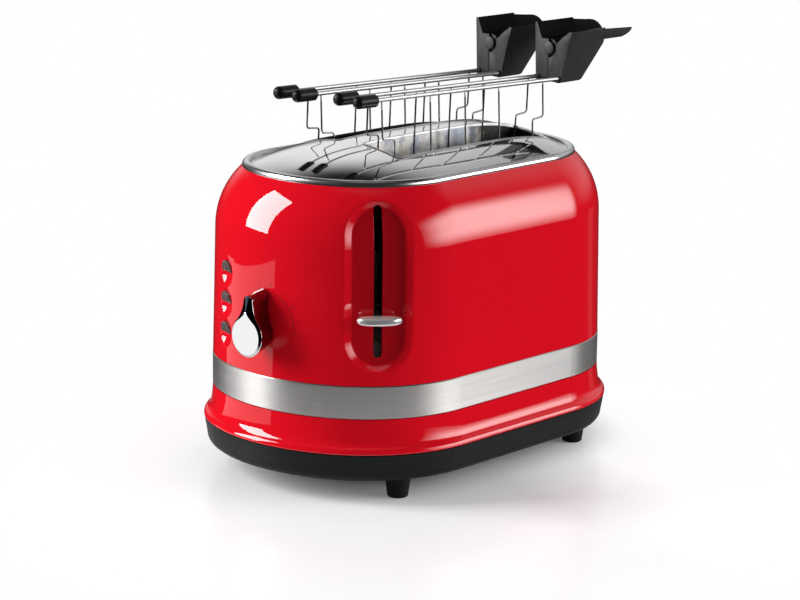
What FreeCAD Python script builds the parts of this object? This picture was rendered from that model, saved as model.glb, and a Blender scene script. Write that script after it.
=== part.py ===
import FreeCAD, Part
import math
import os
from FreeCAD import Vector

# A two-slot toaster with a pair of sandwich clamps standing in its slots. Millimetres, Z up, floor at
# z = 0. X runs along the slots with the controls at the -X end, and -Y is the side with the lever.

# Body outline at the trim band, seen from above: an end arc, corner arcs and straight sides.
half_length = 145.0
half_width = 95.8
corner_radius = 85.3
end_radius = 109.8

# Heights of the stacked outer pieces.
pan_bottom = 14.8
pan_top = 33.4
skirt_bottom = 33.8
skirt_top = 55.8
band_bottom = 56.1
band_top = 77.6
lip_height = 202.3
shoulder_start = lip_height - 38.8

# Outer wall.
shell_sheet = 1.5
wall_inset_at_shoulder = 1.65
shoulder_radius = 54.0
band_sheet = 1.2
band_proud = 0.2
skirt_flare = 6.2
pan_wall = 2.5
joint_gap = 0.3

# Top plate and bread slots.
plate_inset = 20.2
plate_sheet = 0.9
plate_fall = 17.0
bead_radius = 2.6
bead_height = lip_height + 1.7
plate_crown = bead_height + plate_fall
crown_half_length = 121.5
crown_half_width = 72.3
slot_length = 2 * half_length - 134.1
slot_width = 32.0
slot_corner = 3.0
slot_middle_x = 17.35
slot_offset = 26.6
collar_bottom = lip_height - 6.3
collar_sheet = 1.4
collar_rise = 1.5

# Lever recess on the rounded front corner, and the lever.
recess_angle = 49.0
recess_width = 44.0
recess_bottom = band_top + 8.4
recess_top = lip_height - 6.7
recess_depth = 3.0
recess_rim = 2.8
lever_slot_width = 6.2
lever_slot_bottom = recess_bottom + 9.2
lever_slot_top = recess_top - 3.0
lever_height = 122.0
lever_travel = 65.0
lever_stem_width = 4.0
lever_stem_height = 3.2
lever_stem_reach = 4.0
lever_bar_height = 5.4
lever_bar_half_length = 14.3
press_fit = 0.05

# Control knob and push buttons on the front end.
knob_y = -3.0
knob_height = 110.3
knob_front = -half_length - 16.5
knob_radius = 13.4
knob_tip = 24.8
knob_bevel = 3.0
knob_bevel_depth = 2.2
knob_shaft_radius = 3.0
control_front = -half_length + 16.0
board_front = -half_length + 27.0
button_angle = 20.5
button_heights = (138.2, 117.9, 97.6)
scoop_radius = 8.6
scoop_depth = 2.6

# Chassis inside the body.
chassis_floor_z = 35.0
chassis_sheet = 1.0
front_plate_x = slot_middle_x - slot_length / 2 - 2.4
rear_plate_x = slot_middle_x + slot_length / 2 + 2.3
oven_length = rear_plate_x - front_plate_x
chassis_half_width = 58.0
chassis_top = lip_height - 18.3
rest_gap = 0.3
screw_radius = 1.8
post_x = half_length - 45.0
post_y = half_width - 33.8
foot_x = half_length - 54.2
foot_y = half_width - 23.0
gland_radius = 4.5
gland_height = 26.0
card_offset = 23.5
guard_offset = 21.0
guard_wire = 0.8
shield_y = 54.5

# Carriage, in its lowest, latched position.
carriage_x = front_plate_x - 19.0
carriage_bottom = 84.0
carriage_thick = 12.0
guide_rod_radius = 2.5
guide_rod_y = 30.0
running_fit = 0.06
rack_half_width = 5.5
rack_top = 80.0

# Crumb tray.
tray_bottom = 20.3
tray_half_width = post_y - 10.0
tray_front_x = front_plate_x + 3.0
grip_half_width = tray_half_width + 4.0
grip_height = 10.5

# Bread clamps.
rail_radius = 1.45
rail_offset = 9.0
rail_height = lip_height + 48.7
rail_slope = -0.023
cage_wire = 0.6
bow_offset = 11.0
bow_height = rail_height - 51.0
foot_offset = 8.0
foot_bar_height = rack_top + 4.0
wire_pitches = (-35.0, 0.0, 35.0)
end_wire_reach = slot_length / 2 + 4.05
joggle = 11.5
joggle_height = rail_height - 25.6
near_grid_x = slot_middle_x - 5.05
far_grid_x = slot_middle_x + 1.55
cap_radius = 4.25
cap_length = 19.5
cap_wall = 6.0
cap_near_x = near_grid_x - end_wire_reach - 25.3
cap_far_x = far_grid_x - end_wire_reach - 30.7
handle_front = slot_middle_x + slot_length / 2 + 15.7
pivot_height = rail_height + 18.0
pivot_radius = 1.6
wing_end_near = handle_front + 69.0
wing_end_far = handle_front + 75.0
# Knuckle ends along the pivot: far half first, then near half, then the spring, then far half.
knuckle_ends = tuple(handle_front + reach for reach in (0.0, 8.0, 15.0, 23.5, 30.0))
knuckle_radius = 6.2
knuckle_gap = 0.4
far_clamp_shift = Vector(-0.7, 0, -1.6)

# The origin is the middle of the whole footprint, from the knob to the longest handle.
origin_x = (wing_end_far + knob_front) / 2

up = Vector(0, 0, 1)
home = Vector(0, 0, 0)


def export(name, *solids):
    """Writes one node, moved so that the footprint's middle is the origin."""
    shape = solids[0] if len(solids) == 1 else Part.makeCompound(list(solids))
    shape = shape.copy()
    shape.translate(Vector(-origin_x, 0, 0))
    assert shape.isValid(), name
    shape.exportStep("parts/" + name + ".step")
    print(name, len(shape.Solids), round(shape.Volume, 1))


def side_view(x, z):
    return Vector(x, 0, z)


def top_view(x, y):
    return Vector(x, y, 0)


def outline_face(steps, view=side_view):
    """Flat face from corners (a, b); a step (a, b, "mid") is the middle of an arc to the next corner."""
    edges = []
    start = view(*steps[0][:2])
    middle = None
    for step in list(steps[1:]) + [steps[0]]:
        point = view(*step[:2])
        if len(step) == 3:
            middle = point
            continue
        if middle is None:
            edges.append(Part.makeLine(start, point))
        else:
            edges.append(Part.Arc(start, middle, point).toShape())
        start = point
        middle = None
    return Part.Face(Part.Wire(edges))


def box(x0, x1, y0, y1, z0, z1):
    return Part.makeBox(x1 - x0, y1 - y0, z1 - z0, Vector(x0, y0, z0))


def rod(start, end, radius):
    way = end - start
    return Part.makeCylinder(radius, way.Length, start, way)


def tube(start, end, outer, inner):
    return rod(start, end, outer).cut(rod(start, end, inner))


def joined(shapes):
    return shapes[0].multiFuse(shapes[1:]).removeSplitter()


def rounded_box(x0, x1, y0, y1, z0, z1, radius):
    """Upright block with its four vertical edges rounded."""
    block = box(x0, x1, y0, y1, z0, z1)
    upright = [e for e in block.Edges if abs(e.tangentAt(e.FirstParameter).z) > 0.9]
    return block.makeFillet(radius, upright)


def outline_arcs():
    """The outline's eight pieces, anticlockwise: arcs as (centre, radius, first, last angle)."""
    end_x = half_length - end_radius
    corner_y = half_width - corner_radius
    corner_x = end_x + math.sqrt((end_radius - corner_radius) ** 2 - corner_y ** 2)
    turn = math.degrees(math.atan2(corner_y, corner_x - end_x))
    half = [
        (Vector(end_x, 0, 0), end_radius, -turn, turn),
        (Vector(corner_x, corner_y, 0), corner_radius, turn, 90.0),
        (Vector(corner_x, corner_y, 0), None, 90.0, 2 * corner_x),
        (Vector(-corner_x, corner_y, 0), corner_radius, 90.0, 180.0 - turn),
    ]
    other = []
    for centre, radius, first, last in half:
        if radius is None:
            other.append((centre * -1, None, 270.0, last))
        else:
            other.append((centre * -1, radius, first + 180.0, last + 180.0))
    other[1], other[3] = other[1], other[3]
    return half + other


def ring(section):
    """Sweeps a section round the body. The section is drawn with x = distance out from the outline."""
    pieces = []
    for centre, radius, first, last in outline_arcs():
        face = section.copy()
        if radius is None:
            face.translate(Vector(corner_radius, 0, 0))
            face.rotate(home, up, first)
            face.translate(centre)
            along = Vector(-last, 0, 0) if first == 90.0 else Vector(last, 0, 0)
            pieces.append(face.extrude(along))
        else:
            face.translate(Vector(radius, 0, 0))
            face.rotate(home, up, first)
            face.translate(centre)
            pieces.append(face.revolve(centre, up, last - first))
    return joined(pieces)


def plan_wire(grow, z):
    """Body outline moved outward by grow, at height z."""
    edges = []
    for centre, radius, first, last in outline_arcs():
        at = centre + Vector(0, 0, z)
        if radius is None:
            reach = corner_radius + grow
            side = reach if first == 90.0 else -reach
            way = -last if first == 90.0 else last
            start = at + Vector(0, side, 0)
            edges.append(Part.makeLine(start, start + Vector(way, 0, 0)))
        else:
            edges.append(Part.makeCircle(radius + grow, at, up, first, last))
    return Part.Wire(Part.sortEdges(edges)[0])


def plan_block(grow, z0, z1):
    return Part.Face(plan_wire(grow, z0)).extrude(Vector(0, 0, z1 - z0))


def facing(angle_from_front, toward):
    """Outward direction at the front end, turned from -X by an angle toward -Y (-1) or +Y (+1)."""
    angle = math.radians(angle_from_front)
    return Vector(-math.cos(angle), toward * math.sin(angle), 0)


def wall_point(angle_from_front, toward):
    """Point of the band outline whose outward direction is facing(angle_from_front, toward)."""
    out = facing(angle_from_front, toward)
    angle = 180.0 - toward * angle_from_front
    for centre, radius, first, last in outline_arcs():
        if radius is not None and first - 1e-6 <= angle <= last + 1e-6:
            return centre + out * radius
    raise ValueError("angle is not on an arc")


def turned(shape, point, out):
    """Stands a shape drawn at the origin, outward along +X, on the wall at a point facing out."""
    placed = shape.copy()
    placed.rotate(home, up, math.degrees(math.atan2(out.y, out.x)))
    placed.translate(point)
    return placed


def shoulder_centre():
    """Centre of the shoulder arc, as distance out from the outline and height."""
    lean = math.atan2(wall_inset_at_shoulder, shoulder_start - band_top)
    out = -wall_inset_at_shoulder - shoulder_radius * math.cos(lean)
    height = shoulder_start - shoulder_radius * math.sin(lean)
    return out, height, lean


def shoulder_point(height, depth):
    """Point on the shoulder's arc at a height, a depth in from the painted face."""
    out, middle, lean = shoulder_centre()
    angle = math.asin((height - middle) / shoulder_radius)
    radius = shoulder_radius - depth
    return out + radius * math.cos(angle), middle + radius * math.sin(angle)


def wall_section(depth0, depth1, lowest):
    """Section of a layer of the painted wall between two depths, up to the lip."""
    out, middle, lean = shoulder_centre()

    def start(depth):
        radius = shoulder_radius - depth
        return out + radius * math.cos(lean), middle + radius * math.sin(lean)

    half_way = (shoulder_start + lip_height) / 2 + 6
    foot0 = start(depth0)[0] + (start(depth0)[1] - lowest) * math.tan(lean)
    foot1 = start(depth1)[0] + (start(depth1)[1] - lowest) * math.tan(lean)
    return [
        (foot0, lowest),
        start(depth0),
        shoulder_point(half_way, depth0) + ("mid",),
        shoulder_point(lip_height, depth0),
        shoulder_point(lip_height, depth1),
        shoulder_point(half_way, depth1) + ("mid",),
        start(depth1),
        (foot1, lowest),
    ]


def pill(width, bottom, top, reach_in, reach_out):
    """Upright stadium block drawn at the origin, outward along +X."""
    radius = width / 2
    low = bottom + radius
    high = top - radius
    steps = [
        (-radius, low), (0, low - radius, "mid"), (radius, low),
        (radius, high), (0, high + radius, "mid"), (-radius, high),
    ]
    face = outline_face(steps, lambda y, z: Vector(-reach_in, y, z))
    return face.extrude(Vector(reach_in + reach_out, 0, 0))


def body_shell():
    """Painted shell: domed shoulder, lever recess, button scoops and the knob shaft's hole."""
    lip_nose = shell_sheet / 2
    hidden = band_proud - band_sheet - joint_gap
    outer = wall_section(0.0, shell_sheet, band_top + joint_gap)
    tail = [
        (hidden - shell_sheet, band_top + joint_gap + 2),
        (hidden - shell_sheet, skirt_top + 1),
        (hidden, skirt_top + 1),
        (hidden, band_top + joint_gap),
    ]
    shell = ring(outline_face(outer[:-1] + tail))
    lip = plan_lip(lip_nose)
    shell = shell.fuse(lip)

    out = facing(recess_angle, -1)
    point = wall_point(recess_angle, -1)
    backing_layer = ring(outline_face(wall_section(0.0, recess_depth + shell_sheet, recess_bottom - 6)))
    grow = shell_sheet + 1.5
    backing = turned(
        pill(recess_width + 2 * grow, recess_bottom - grow, recess_top + grow - 1.5, 40, 3), point, out)
    floor_layer = ring(outline_face(wall_section(-6.0, recess_depth, recess_bottom - 9)))
    floor_width = recess_width - 2 * recess_rim
    floor_bottom = recess_bottom + recess_rim
    floor_top = recess_top - recess_rim
    hollow = turned(pill(floor_width, floor_bottom, floor_top, 16, 3), point, out)
    slot = turned(pill(lever_slot_width, lever_slot_bottom, lever_slot_top, 40, 8), point, out)
    shell = shell.fuse(backing_layer.common(backing)).cut(floor_layer.common(hollow)).removeSplitter()
    middle = (floor_bottom + floor_width / 2, floor_top - floor_width / 2)
    mouth = mouth_edges(shell, point, out, floor_width / 2, middle)
    shell = shell.makeChamfer(recess_rim, mouth).cut(slot)

    for height in button_heights:
        shell = with_scoop(shell, height)
    hole = rod(knob_axis(-half_length - 15), knob_axis(-half_length + 10), knob_shaft_radius + 1)
    return shell.cut(hole).removeSplitter()


def mouth_edges(shell, point, out, radius, middle):
    """Edges where a pill-shaped pocket meets the painted face; middle holds its arcs' heights."""
    across = Vector(-out.y, out.x, 0)
    found = []
    for edge in shell.Edges:
        reach = edge.LastParameter - edge.FirstParameter
        places = [edge.valueAt(edge.FirstParameter + reach * k / 6) for k in range(7)]
        on_wall = True
        for place in places:
            core = min(max(place.z, middle[0]), middle[1])
            sideways = (place - point).dot(across)
            on_wall = on_wall and abs(math.hypot(sideways, place.z - core) - radius) < 0.02
        if on_wall and edge.Length > 5:
            found.append(((places[3] - point).dot(out), edge, places[3]))
    return [edge for depth, edge, place in found
            if not any(other > depth + 0.5 and (twin - place).Length < recess_depth * 1.5
                       for other, same, twin in found)]


def knob_axis(x):
    """Point on the knob's axis."""
    return Vector(x, knob_y, knob_height)


def plan_lip(nose):
    """Rolled edge of the shell's mouth, a bead a little thicker than the sheet."""
    x, z = shoulder_point(lip_height, nose)
    circle = Part.makeCircle(nose + 0.1, Vector(x, 0, z), Vector(0, 1, 0))
    return ring(Part.Face(Part.Wire(circle)))


def button_place(height):
    out = facing(button_angle, 1)
    point = wall_point(button_angle, 1)
    lean = wall_inset_at_shoulder / (shoulder_start - band_top)
    return point - out * (lean * (height - band_top)) + Vector(0, 0, height), out


def with_scoop(shell, height):
    """Adds a round dished scoop with an opening for its push button."""
    point, out = button_place(height)
    backing = turned(rod(Vector(-scoop_depth - shell_sheet, 0, 0), Vector(-0.8, 0, 0),
                         scoop_radius + 1.2), point, out)
    ball_radius = (scoop_radius ** 2 + scoop_depth ** 2) / (2 * scoop_depth)
    ball = Part.makeSphere(ball_radius, Vector(ball_radius - scoop_depth, 0, 0))
    shell = shell.fuse(backing).cut(turned(ball, point, out))
    opening = turned(button_block(joint_gap, -12, 4), point, out)
    return shell.cut(opening)


def button_block(grow, x0, x1):
    """Half-moon button block drawn at the origin: the upper part of the round scoop."""
    radius = scoop_radius - 1.0 + grow
    chord = 0.6 - grow
    half = math.sqrt(radius ** 2 - chord ** 2)
    steps = [(-half, chord), (half, chord), (0, radius, "mid")]
    face = outline_face(steps, lambda y, z: Vector(x0, y, z))
    return face.extrude(Vector(x1 - x0, 0, 0))


def trim_band():
    """Bare brushed steel strip with softened edges."""
    out = band_proud
    inner = band_proud - band_sheet
    soft = 0.5
    steps = [
        (inner, band_bottom), (out - soft, band_bottom), (out, band_bottom + soft),
        (out, band_top - soft), (out - soft, band_top), (inner, band_top),
    ]
    return ring(outline_face(steps))


def base_skirt():
    """Painted skirt: a straight upper edge, a hollow cove and a rounded flange over the pan."""
    flange = skirt_flare
    cove = Part.BSplineCurve()
    cove.interpolate([
        side_view(0.1, skirt_top), side_view(0.4, 51.0), side_view(1.2, 44.6), side_view(2.2, 40.6),
        side_view(3.7, 38.4),
    ])
    start = side_view(3.7, 38.4)
    turn = side_view(flange, 34.7)
    edges = [
        cove.toShape(),
        Part.Arc(start, side_view(5.5, 36.8), turn).toShape(),
        Part.Arc(turn, side_view(flange - 0.3, 34.0), side_view(flange - 0.9, skirt_bottom)).toShape(),
    ]
    inner = [(flange - 0.9, skirt_bottom), (3.2, skirt_bottom), (2.0, 37.0), (-0.9, 41.5),
             (-1.7, 51.0), (-1.7, skirt_top), (0.1, skirt_top)]
    for first, second in zip(inner, inner[1:]):
        edges.append(Part.makeLine(side_view(*first), side_view(*second)))
    return ring(Part.Face(Part.Wire(edges)))


def base_pan():
    """Moulded pan with a rounded lower edge, vents, bosses and tray rails, open at the rear for the tray."""
    sweep = 6.8
    wall_out = 3.9
    turn_z = pan_bottom + sweep
    inner = wall_out - pan_wall
    steps = [
        (-2.9, pan_bottom), (wall_out - sweep * 0.293, pan_bottom + sweep * 0.293, "mid"), (wall_out, turn_z),
        (5.9, pan_top), (5.9 - pan_wall, pan_top), (inner, turn_z),
        (inner - 4.3 * 0.293, turn_z - 4.3 * 0.707, "mid"), (-2.9, pan_bottom + pan_wall),
    ]
    pan = ring(outline_face(steps))
    pan = pan.fuse(plan_block(-2.9, pan_bottom, pan_bottom + pan_wall))
    floor = pan_bottom + pan_wall
    posts = [rod(Vector(x, y, floor - 0.5), Vector(x, y, chassis_floor_z - rest_gap), 5)
             for x, y in four_places(post_x, post_y)]
    rails = [box(tray_front_x - 10, half_length - 17, y - 1.5, y + 1.5, floor - 0.5, tray_bottom - rest_gap)
             for y in (-tray_half_width + 6, tray_half_width - 6)]
    pan = pan.multiFuse(posts + rails)
    cuts = [box(half_length - 25, half_length + 15, -grip_half_width, grip_half_width,
                tray_bottom - 0.6, tray_bottom + grip_height)]
    cuts += [base_screw(x, y, press_fit) for x, y in four_places(post_x, post_y)]
    cuts.append(turned(rod(Vector(-8, 0, gland_height), Vector(12, 0, gland_height), gland_radius + 0.05),
                       *gland_place()))
    for side in (-1, 1):
        for k in range(5):
            x = -48 + 24 * k
            y = side * (half_width - 29.8)
            cuts.append(rounded_box(x - 9, x + 9, y - 2, y + 2, pan_bottom - 1, floor + 1, 1.9))
    return pan.cut(Part.makeCompound(cuts)).removeSplitter()


def four_places(x, y):
    """The same place in each quarter of the plan."""
    return [(sx * x, sy * y) for sx in (-1, 1) for sy in (-1, 1)]


def rubber_foot(x, y):
    """Tapered foot with a rounded sole."""
    steps = [(0, 0), (5.4, 0), (6.5, 0.45, "mid"), (6.95, 1.5), (8.5, pan_bottom - joint_gap),
             (0, pan_bottom - joint_gap)]
    foot = outline_face(steps).revolve(home, up, 360)
    foot.translate(Vector(x, y, 0))
    return foot


def dome_height(x, y):
    """Crown of the top plate."""
    return plate_crown - plate_fall * ((y / crown_half_width) ** 2 + (abs(x) / crown_half_length) ** 4)


def dome_layer(top, thick):
    """Slab that follows the crown, raised by top and thick deep."""
    rows = []
    for i in range(-6, 7):
        x = 21.5 * i
        rows.append([Vector(x, 13.0 * j, dome_height(x, 13.0 * j) + top) for j in range(-6, 7)])
    surface = Part.BSplineSurface()
    surface.interpolate(rows)
    return surface.toShape().extrude(Vector(0, 0, -thick))


def slot_block(y, grow, z0, z1):
    half = slot_length / 2 + grow
    wide = slot_width / 2 + grow
    return rounded_box(slot_middle_x - half, slot_middle_x + half, y - wide, y + wide, z0, z1,
                       slot_corner + grow)


def top_plate():
    """Polished plate: rolled bead, crowned face and two slots with raised, folded collars."""
    bead_in = -plate_inset - bead_radius
    bead = ring(Part.Face(Part.Wire(Part.makeCircle(
        bead_radius, Vector(bead_in, 0, bead_height), Vector(0, 1, 0)))))
    low = collar_bottom - 6
    high = plate_crown + 9
    skin = dome_layer(0, plate_sheet).common(plan_block(bead_in, low, high))
    under = dome_layer(collar_rise, 40)
    for y in (-slot_offset, slot_offset):
        mouth = slot_block(y, 0, low, high)
        collar = slot_block(y, collar_sheet, collar_bottom, high).cut(mouth)
        skin = skin.cut(mouth).fuse(collar.common(under))
    return skin.fuse(bead).removeSplitter()


def chassis_floor():
    """Sheet under the oven with a large opening for the crumbs."""
    plate = plan_block(-4.5, chassis_floor_z, chassis_floor_z + chassis_sheet)
    wide = tray_half_width - 2
    opening = rounded_box(front_plate_x + 5, rear_plate_x - 5, -wide, wide, chassis_floor_z - 5,
                          chassis_floor_z + 5, 4)
    rods = [rod(Vector(carriage_x, y, chassis_floor_z - 5), Vector(carriage_x, y, chassis_floor_z + 5),
                guide_rod_radius + 0.1) for y in (-guide_rod_y, guide_rod_y)]
    return plate.cut(Part.makeCompound([opening] + rods))


def clamp_frames():
    """Slot middle y and the shift of the clamp that stands in it, near slot first."""
    return ((-slot_offset, Vector(0, 0, 0)), (slot_offset, far_clamp_shift))


def chassis_plate(x, inward):
    """End plate with guide slots for the racks and ledges that the clamps stand on."""
    plate = box(x, x + chassis_sheet, -chassis_half_width, chassis_half_width,
                chassis_floor_z + chassis_sheet, chassis_top)
    flange = sorted((x + chassis_sheet / 2, x - inward * 12))
    parts = [plate, box(flange[0], flange[1], -40, 40, chassis_floor_z + chassis_sheet,
                        chassis_floor_z + 2 * chassis_sheet)]
    reach = 20.0 if inward < 0 else 15.0
    for y, shift in clamp_frames():
        top = foot_bar_height - cage_wire - rest_gap + shift.z
        for side in (-1, 1):
            edge = sorted((y + side * 6.6, y + side * 14.5))
            span = sorted((x + chassis_sheet / 2, x + inward * reach))
            parts.append(box(span[0], span[1], edge[0], edge[1], top - chassis_sheet, top))
    plate = joined(parts)
    cuts = []
    for y in (-slot_offset, slot_offset):
        cuts.append(box(x - 1, x + 2, y - 2.4, y + 2.4, rack_top - 20, rack_top + lever_travel + 6))
        cuts.append(rounded_box(x - 1, x + 2, y - 9, y + 9, 46, 52, 0.4))
    return plate.cut(Part.makeCompound(cuts)).removeSplitter()


def heat_shield(side):
    """Bright sheet beside the oven, with a stiffening groove."""
    y = sorted((side * shield_y, side * (shield_y + 0.6)))
    sheet = box(front_plate_x + chassis_sheet, rear_plate_x, y[0], y[1], chassis_floor_z + chassis_sheet,
                chassis_top - 4)
    rib_y = side * (shield_y + 0.3)
    start = Vector(front_plate_x + 13, rib_y, 110)
    end = Vector(rear_plate_x - 12.6, rib_y, 110)
    return sheet.fuse(rod(start, end, 2.2)).cut(rod(start, end, 1.6))


def card_places():
    """Middle y of each heater card and the side its bread is on."""
    return [(y + side * card_offset, -side) for y in (-slot_offset, slot_offset) for side in (-1, 1)]


def heating_element(y):
    """Mica card with notched long edges."""
    top = chassis_top - 6
    card = box(front_plate_x + chassis_sheet, rear_plate_x, y - 0.4, y + 0.4, 58, top)
    pitch = (oven_length - 20) / 5
    first = front_plate_x + 11
    notches = [box(first + pitch * k, first + pitch * k + 4, y - 1, y + 1, z0, z0 + 3)
               for k in range(6) for z0 in (57, top - 2)]
    return card.cut(Part.makeCompound(notches))


def heating_ribbon(y, side):
    """Flat resistance wire wound to and fro over the face toward the bread."""
    a = y + side * 0.45
    b = y + side * 0.7
    y0, y1 = sorted((a, b))
    rows = 6
    pitch = 18.0
    x0 = front_plate_x + 13
    x1 = rear_plate_x - 12.6
    pieces = [box(x0, x1, y0, y1, 68 + pitch * k, 69.5 + pitch * k) for k in range(rows)]
    for k in range(rows - 1):
        x = x1 - 1.5 if k % 2 == 0 else x0
        pieces.append(box(x, x + 1.5, y0, y1, 68 + pitch * k, 69.5 + pitch * (k + 1)))
    return joined(pieces)


def slot_guard(y, side):
    """Cage of upright wires beside the bread, welded to two long ones."""
    wall = y + side * guard_offset
    x0 = front_plate_x + chassis_sheet + 0.2
    x1 = rear_plate_x - 0.2
    low = 60
    high = chassis_top + 4
    longs = [rod(Vector(x0, wall, z), Vector(x1, wall, z), guard_wire) for z in (low, high)]
    pitch = (oven_length - 30.6) / 5
    places = [front_plate_x + 15 + pitch * k for k in range(6)]
    ups = [rod(Vector(x, wall, low), Vector(x, wall, high), guard_wire) for x in places]
    return joined(longs + ups)


def guide_rods():
    low = chassis_floor_z
    high = chassis_top + 4
    return [rod(Vector(carriage_x, y, low), Vector(carriage_x, y, high), guide_rod_radius)
            for y in (-guide_rod_y, guide_rod_y)]


def rod_bracket():
    """Angle bracket from the front plate that holds the tops of the guide rods."""
    shelf = box(carriage_x - 8, front_plate_x, -38, 38, chassis_top, chassis_top + 1.2)
    lip = box(front_plate_x, front_plate_x + chassis_sheet, -38, 38, chassis_top, chassis_top + 1.2)
    bracket = shelf.fuse(lip)
    for y in (-guide_rod_y, guide_rod_y):
        low = Vector(carriage_x, y, chassis_top - 4)
        bracket = bracket.cut(rod(low, low + Vector(0, 0, 10), guide_rod_radius + 0.1))
    return bracket.removeSplitter()


def carriage_block():
    """Moulded slider on the two guide rods, with arms through the front plate to the racks."""
    top = carriage_bottom + carriage_thick
    block = box(carriage_x - 8, carriage_x + 8, -37, 37, carriage_bottom, top)
    pads = [rod(Vector(carriage_x, y, carriage_bottom), Vector(carriage_x, y, top), 7.5)
            for y in (-guide_rod_y, guide_rod_y)]
    block = block.multiFuse(pads)
    hollow = box(carriage_x - 6, carriage_x + 6, -20, 20, carriage_bottom + 3, top + 1)
    stud_hole = rod(Vector(carriage_x, 0, carriage_bottom - 1), Vector(carriage_x, 0, top), 2.02)
    bores = [rod(Vector(carriage_x, y, carriage_bottom - 1), Vector(carriage_x, y, top + 1),
                 guide_rod_radius + running_fit) for y in (-guide_rod_y, guide_rod_y)]
    return block.cut(Part.makeCompound([hollow.fuse(stud_hole)] + bores)).removeSplitter()


def bread_rack(y):
    """Folded steel rack: a toothed blade in the slot with a tail out to the carriage."""
    blade_start = front_plate_x + 17
    blade_end = rear_plate_x - 21.6
    blade = box(blade_start, blade_end, y - 0.6, y + 0.6, rack_top - 10, rack_top - 2)
    pitch = (oven_length - 45.6) / 5
    wings = []
    for k in range(6):
        x = blade_start + 4 + pitch * k
        wing = box(x, x + 8, y - rack_half_width, y + rack_half_width, rack_top - 3, rack_top)
        wings.append(wing.cut(box(x - 1, x + 9, y + 1, y + 5, rack_top - 1.2, rack_top + 1)))
    tail = box(carriage_x + 8, blade_start + 1, y - 0.6, y + 0.6, rack_top - 10, rack_top - 4)
    post = box(carriage_x + 8, carriage_x + 9.5, y - 5, y + 5, rack_top - 10, carriage_bottom + 10)
    nose = box(blade_end - 1, rear_plate_x + 6, y - 0.6, y + 0.6, rack_top - 10, rack_top - 4)
    return joined([blade, tail, post, nose] + wings)


def lever_direction():
    """Which way the lever points, and where its slot crosses the outline."""
    return facing(recess_angle, -1), wall_point(recess_angle, -1)


def lever_arm():
    """Flat arm from the carriage out through the lever slot."""
    out, point = lever_direction()
    z0 = lever_height - lever_stem_height / 2
    stem = turned(box(-34, lever_stem_reach, -lever_stem_width / 2, lever_stem_width / 2,
                      z0, z0 + lever_stem_height), point, out)
    root = point - out * 33
    drop = box(root.x - 4, root.x + 4, root.y - 4, root.y + 4, carriage_bottom, z0 + lever_stem_height)
    low = carriage_bottom
    high = carriage_bottom + carriage_thick
    foot = box(carriage_x - 14, carriage_x - 4, root.y - 4, -37, low, high)
    bridge = box(root.x - 4, carriage_x - 4, root.y - 4, root.y + 4, low, high)
    return joined([stem, drop, foot, bridge])


def lever_cap():
    """Chrome finger bar with a bowed front edge, on the end of the lever arm."""
    out, point = lever_direction()
    half = lever_bar_half_length
    front = 12.0
    back = 0.5
    steps = [(back, -half + 1.5), (front - 3.2, -half), (front, 0, "mid"), (front - 3.2, half),
             (back, half - 1.5)]
    face = outline_face(steps, top_view)
    bar = face.extrude(Vector(0, 0, lever_bar_height))
    bar.translate(Vector(0, 0, lever_height - lever_bar_height / 2))
    bar = bar.makeFillet(2.0, bar.Edges)
    wide = lever_stem_width / 2 + press_fit
    tall = lever_stem_height / 2 + press_fit
    grip = box(-1, lever_stem_reach + press_fit, -wide, wide, lever_height - tall, lever_height + tall)
    return turned(bar.cut(grip), point, out)


def latch_keeper():
    """Steel plate under the carriage that the magnet holds."""
    plate = box(carriage_x - 7, carriage_x + 7, -10, 10, carriage_bottom - 2.5, carriage_bottom)
    stud = rod(Vector(carriage_x, 0, carriage_bottom - 0.5), Vector(carriage_x, 0, carriage_bottom + 2.4), 2)
    return plate.fuse(stud).removeSplitter()


def latch_magnet():
    """Holding magnet: U-shaped core with its coil, standing on the chassis floor."""
    base = chassis_floor_z + chassis_sheet
    top = carriage_bottom - 2.5 - rest_gap
    core = box(carriage_x - 5, carriage_x + 5, -9, 9, base, top)
    window = box(carriage_x - 6, carriage_x + 6, -3, 3, base + 14, top + 1)
    coil = rounded_box(carriage_x - 8, carriage_x + 8, -13.5, -0.5, base + 16, top - 6, 2)
    return core.cut(window).fuse(coil).removeSplitter()


def lift_spring():
    """Extension spring round a guide rod, drawn as a plain sleeve."""
    low = carriage_bottom + carriage_thick + rest_gap
    high = chassis_top - rest_gap
    return tube(Vector(carriage_x, -guide_rod_y, low), Vector(carriage_x, -guide_rod_y, high), 4.4, 3.4)


def teardrop(x, round_radius, tip_radius, tip, neck_radius):
    """Round body with hollow flanks drawn out to a rounded tip above it."""
    near = round_radius + neck_radius
    far = tip_radius + neck_radius
    middle = tip - tip_radius
    z = (near ** 2 - far ** 2 + middle ** 2) / (2 * middle)
    y = math.sqrt(near ** 2 - z ** 2)
    low = (y * round_radius / near, z * round_radius / near)
    high = (y * tip_radius / far, middle + (z - middle) * tip_radius / far)
    half_way = Vector((low[0] + high[0]) / 2 - y, (low[1] + high[1]) / 2 - z, 0).normalize() * neck_radius
    flank = (y + half_way.x, z + half_way.y)
    steps = [
        low, flank + ("mid",), high, (0, tip, "mid"), (-high[0], high[1]),
        (-flank[0], flank[1], "mid"), (-low[0], low[1]), (0, -round_radius, "mid"),
    ]
    return outline_face(steps, lambda a, b: Vector(x, knob_y + a, knob_height + b)).OuterWire


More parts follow.
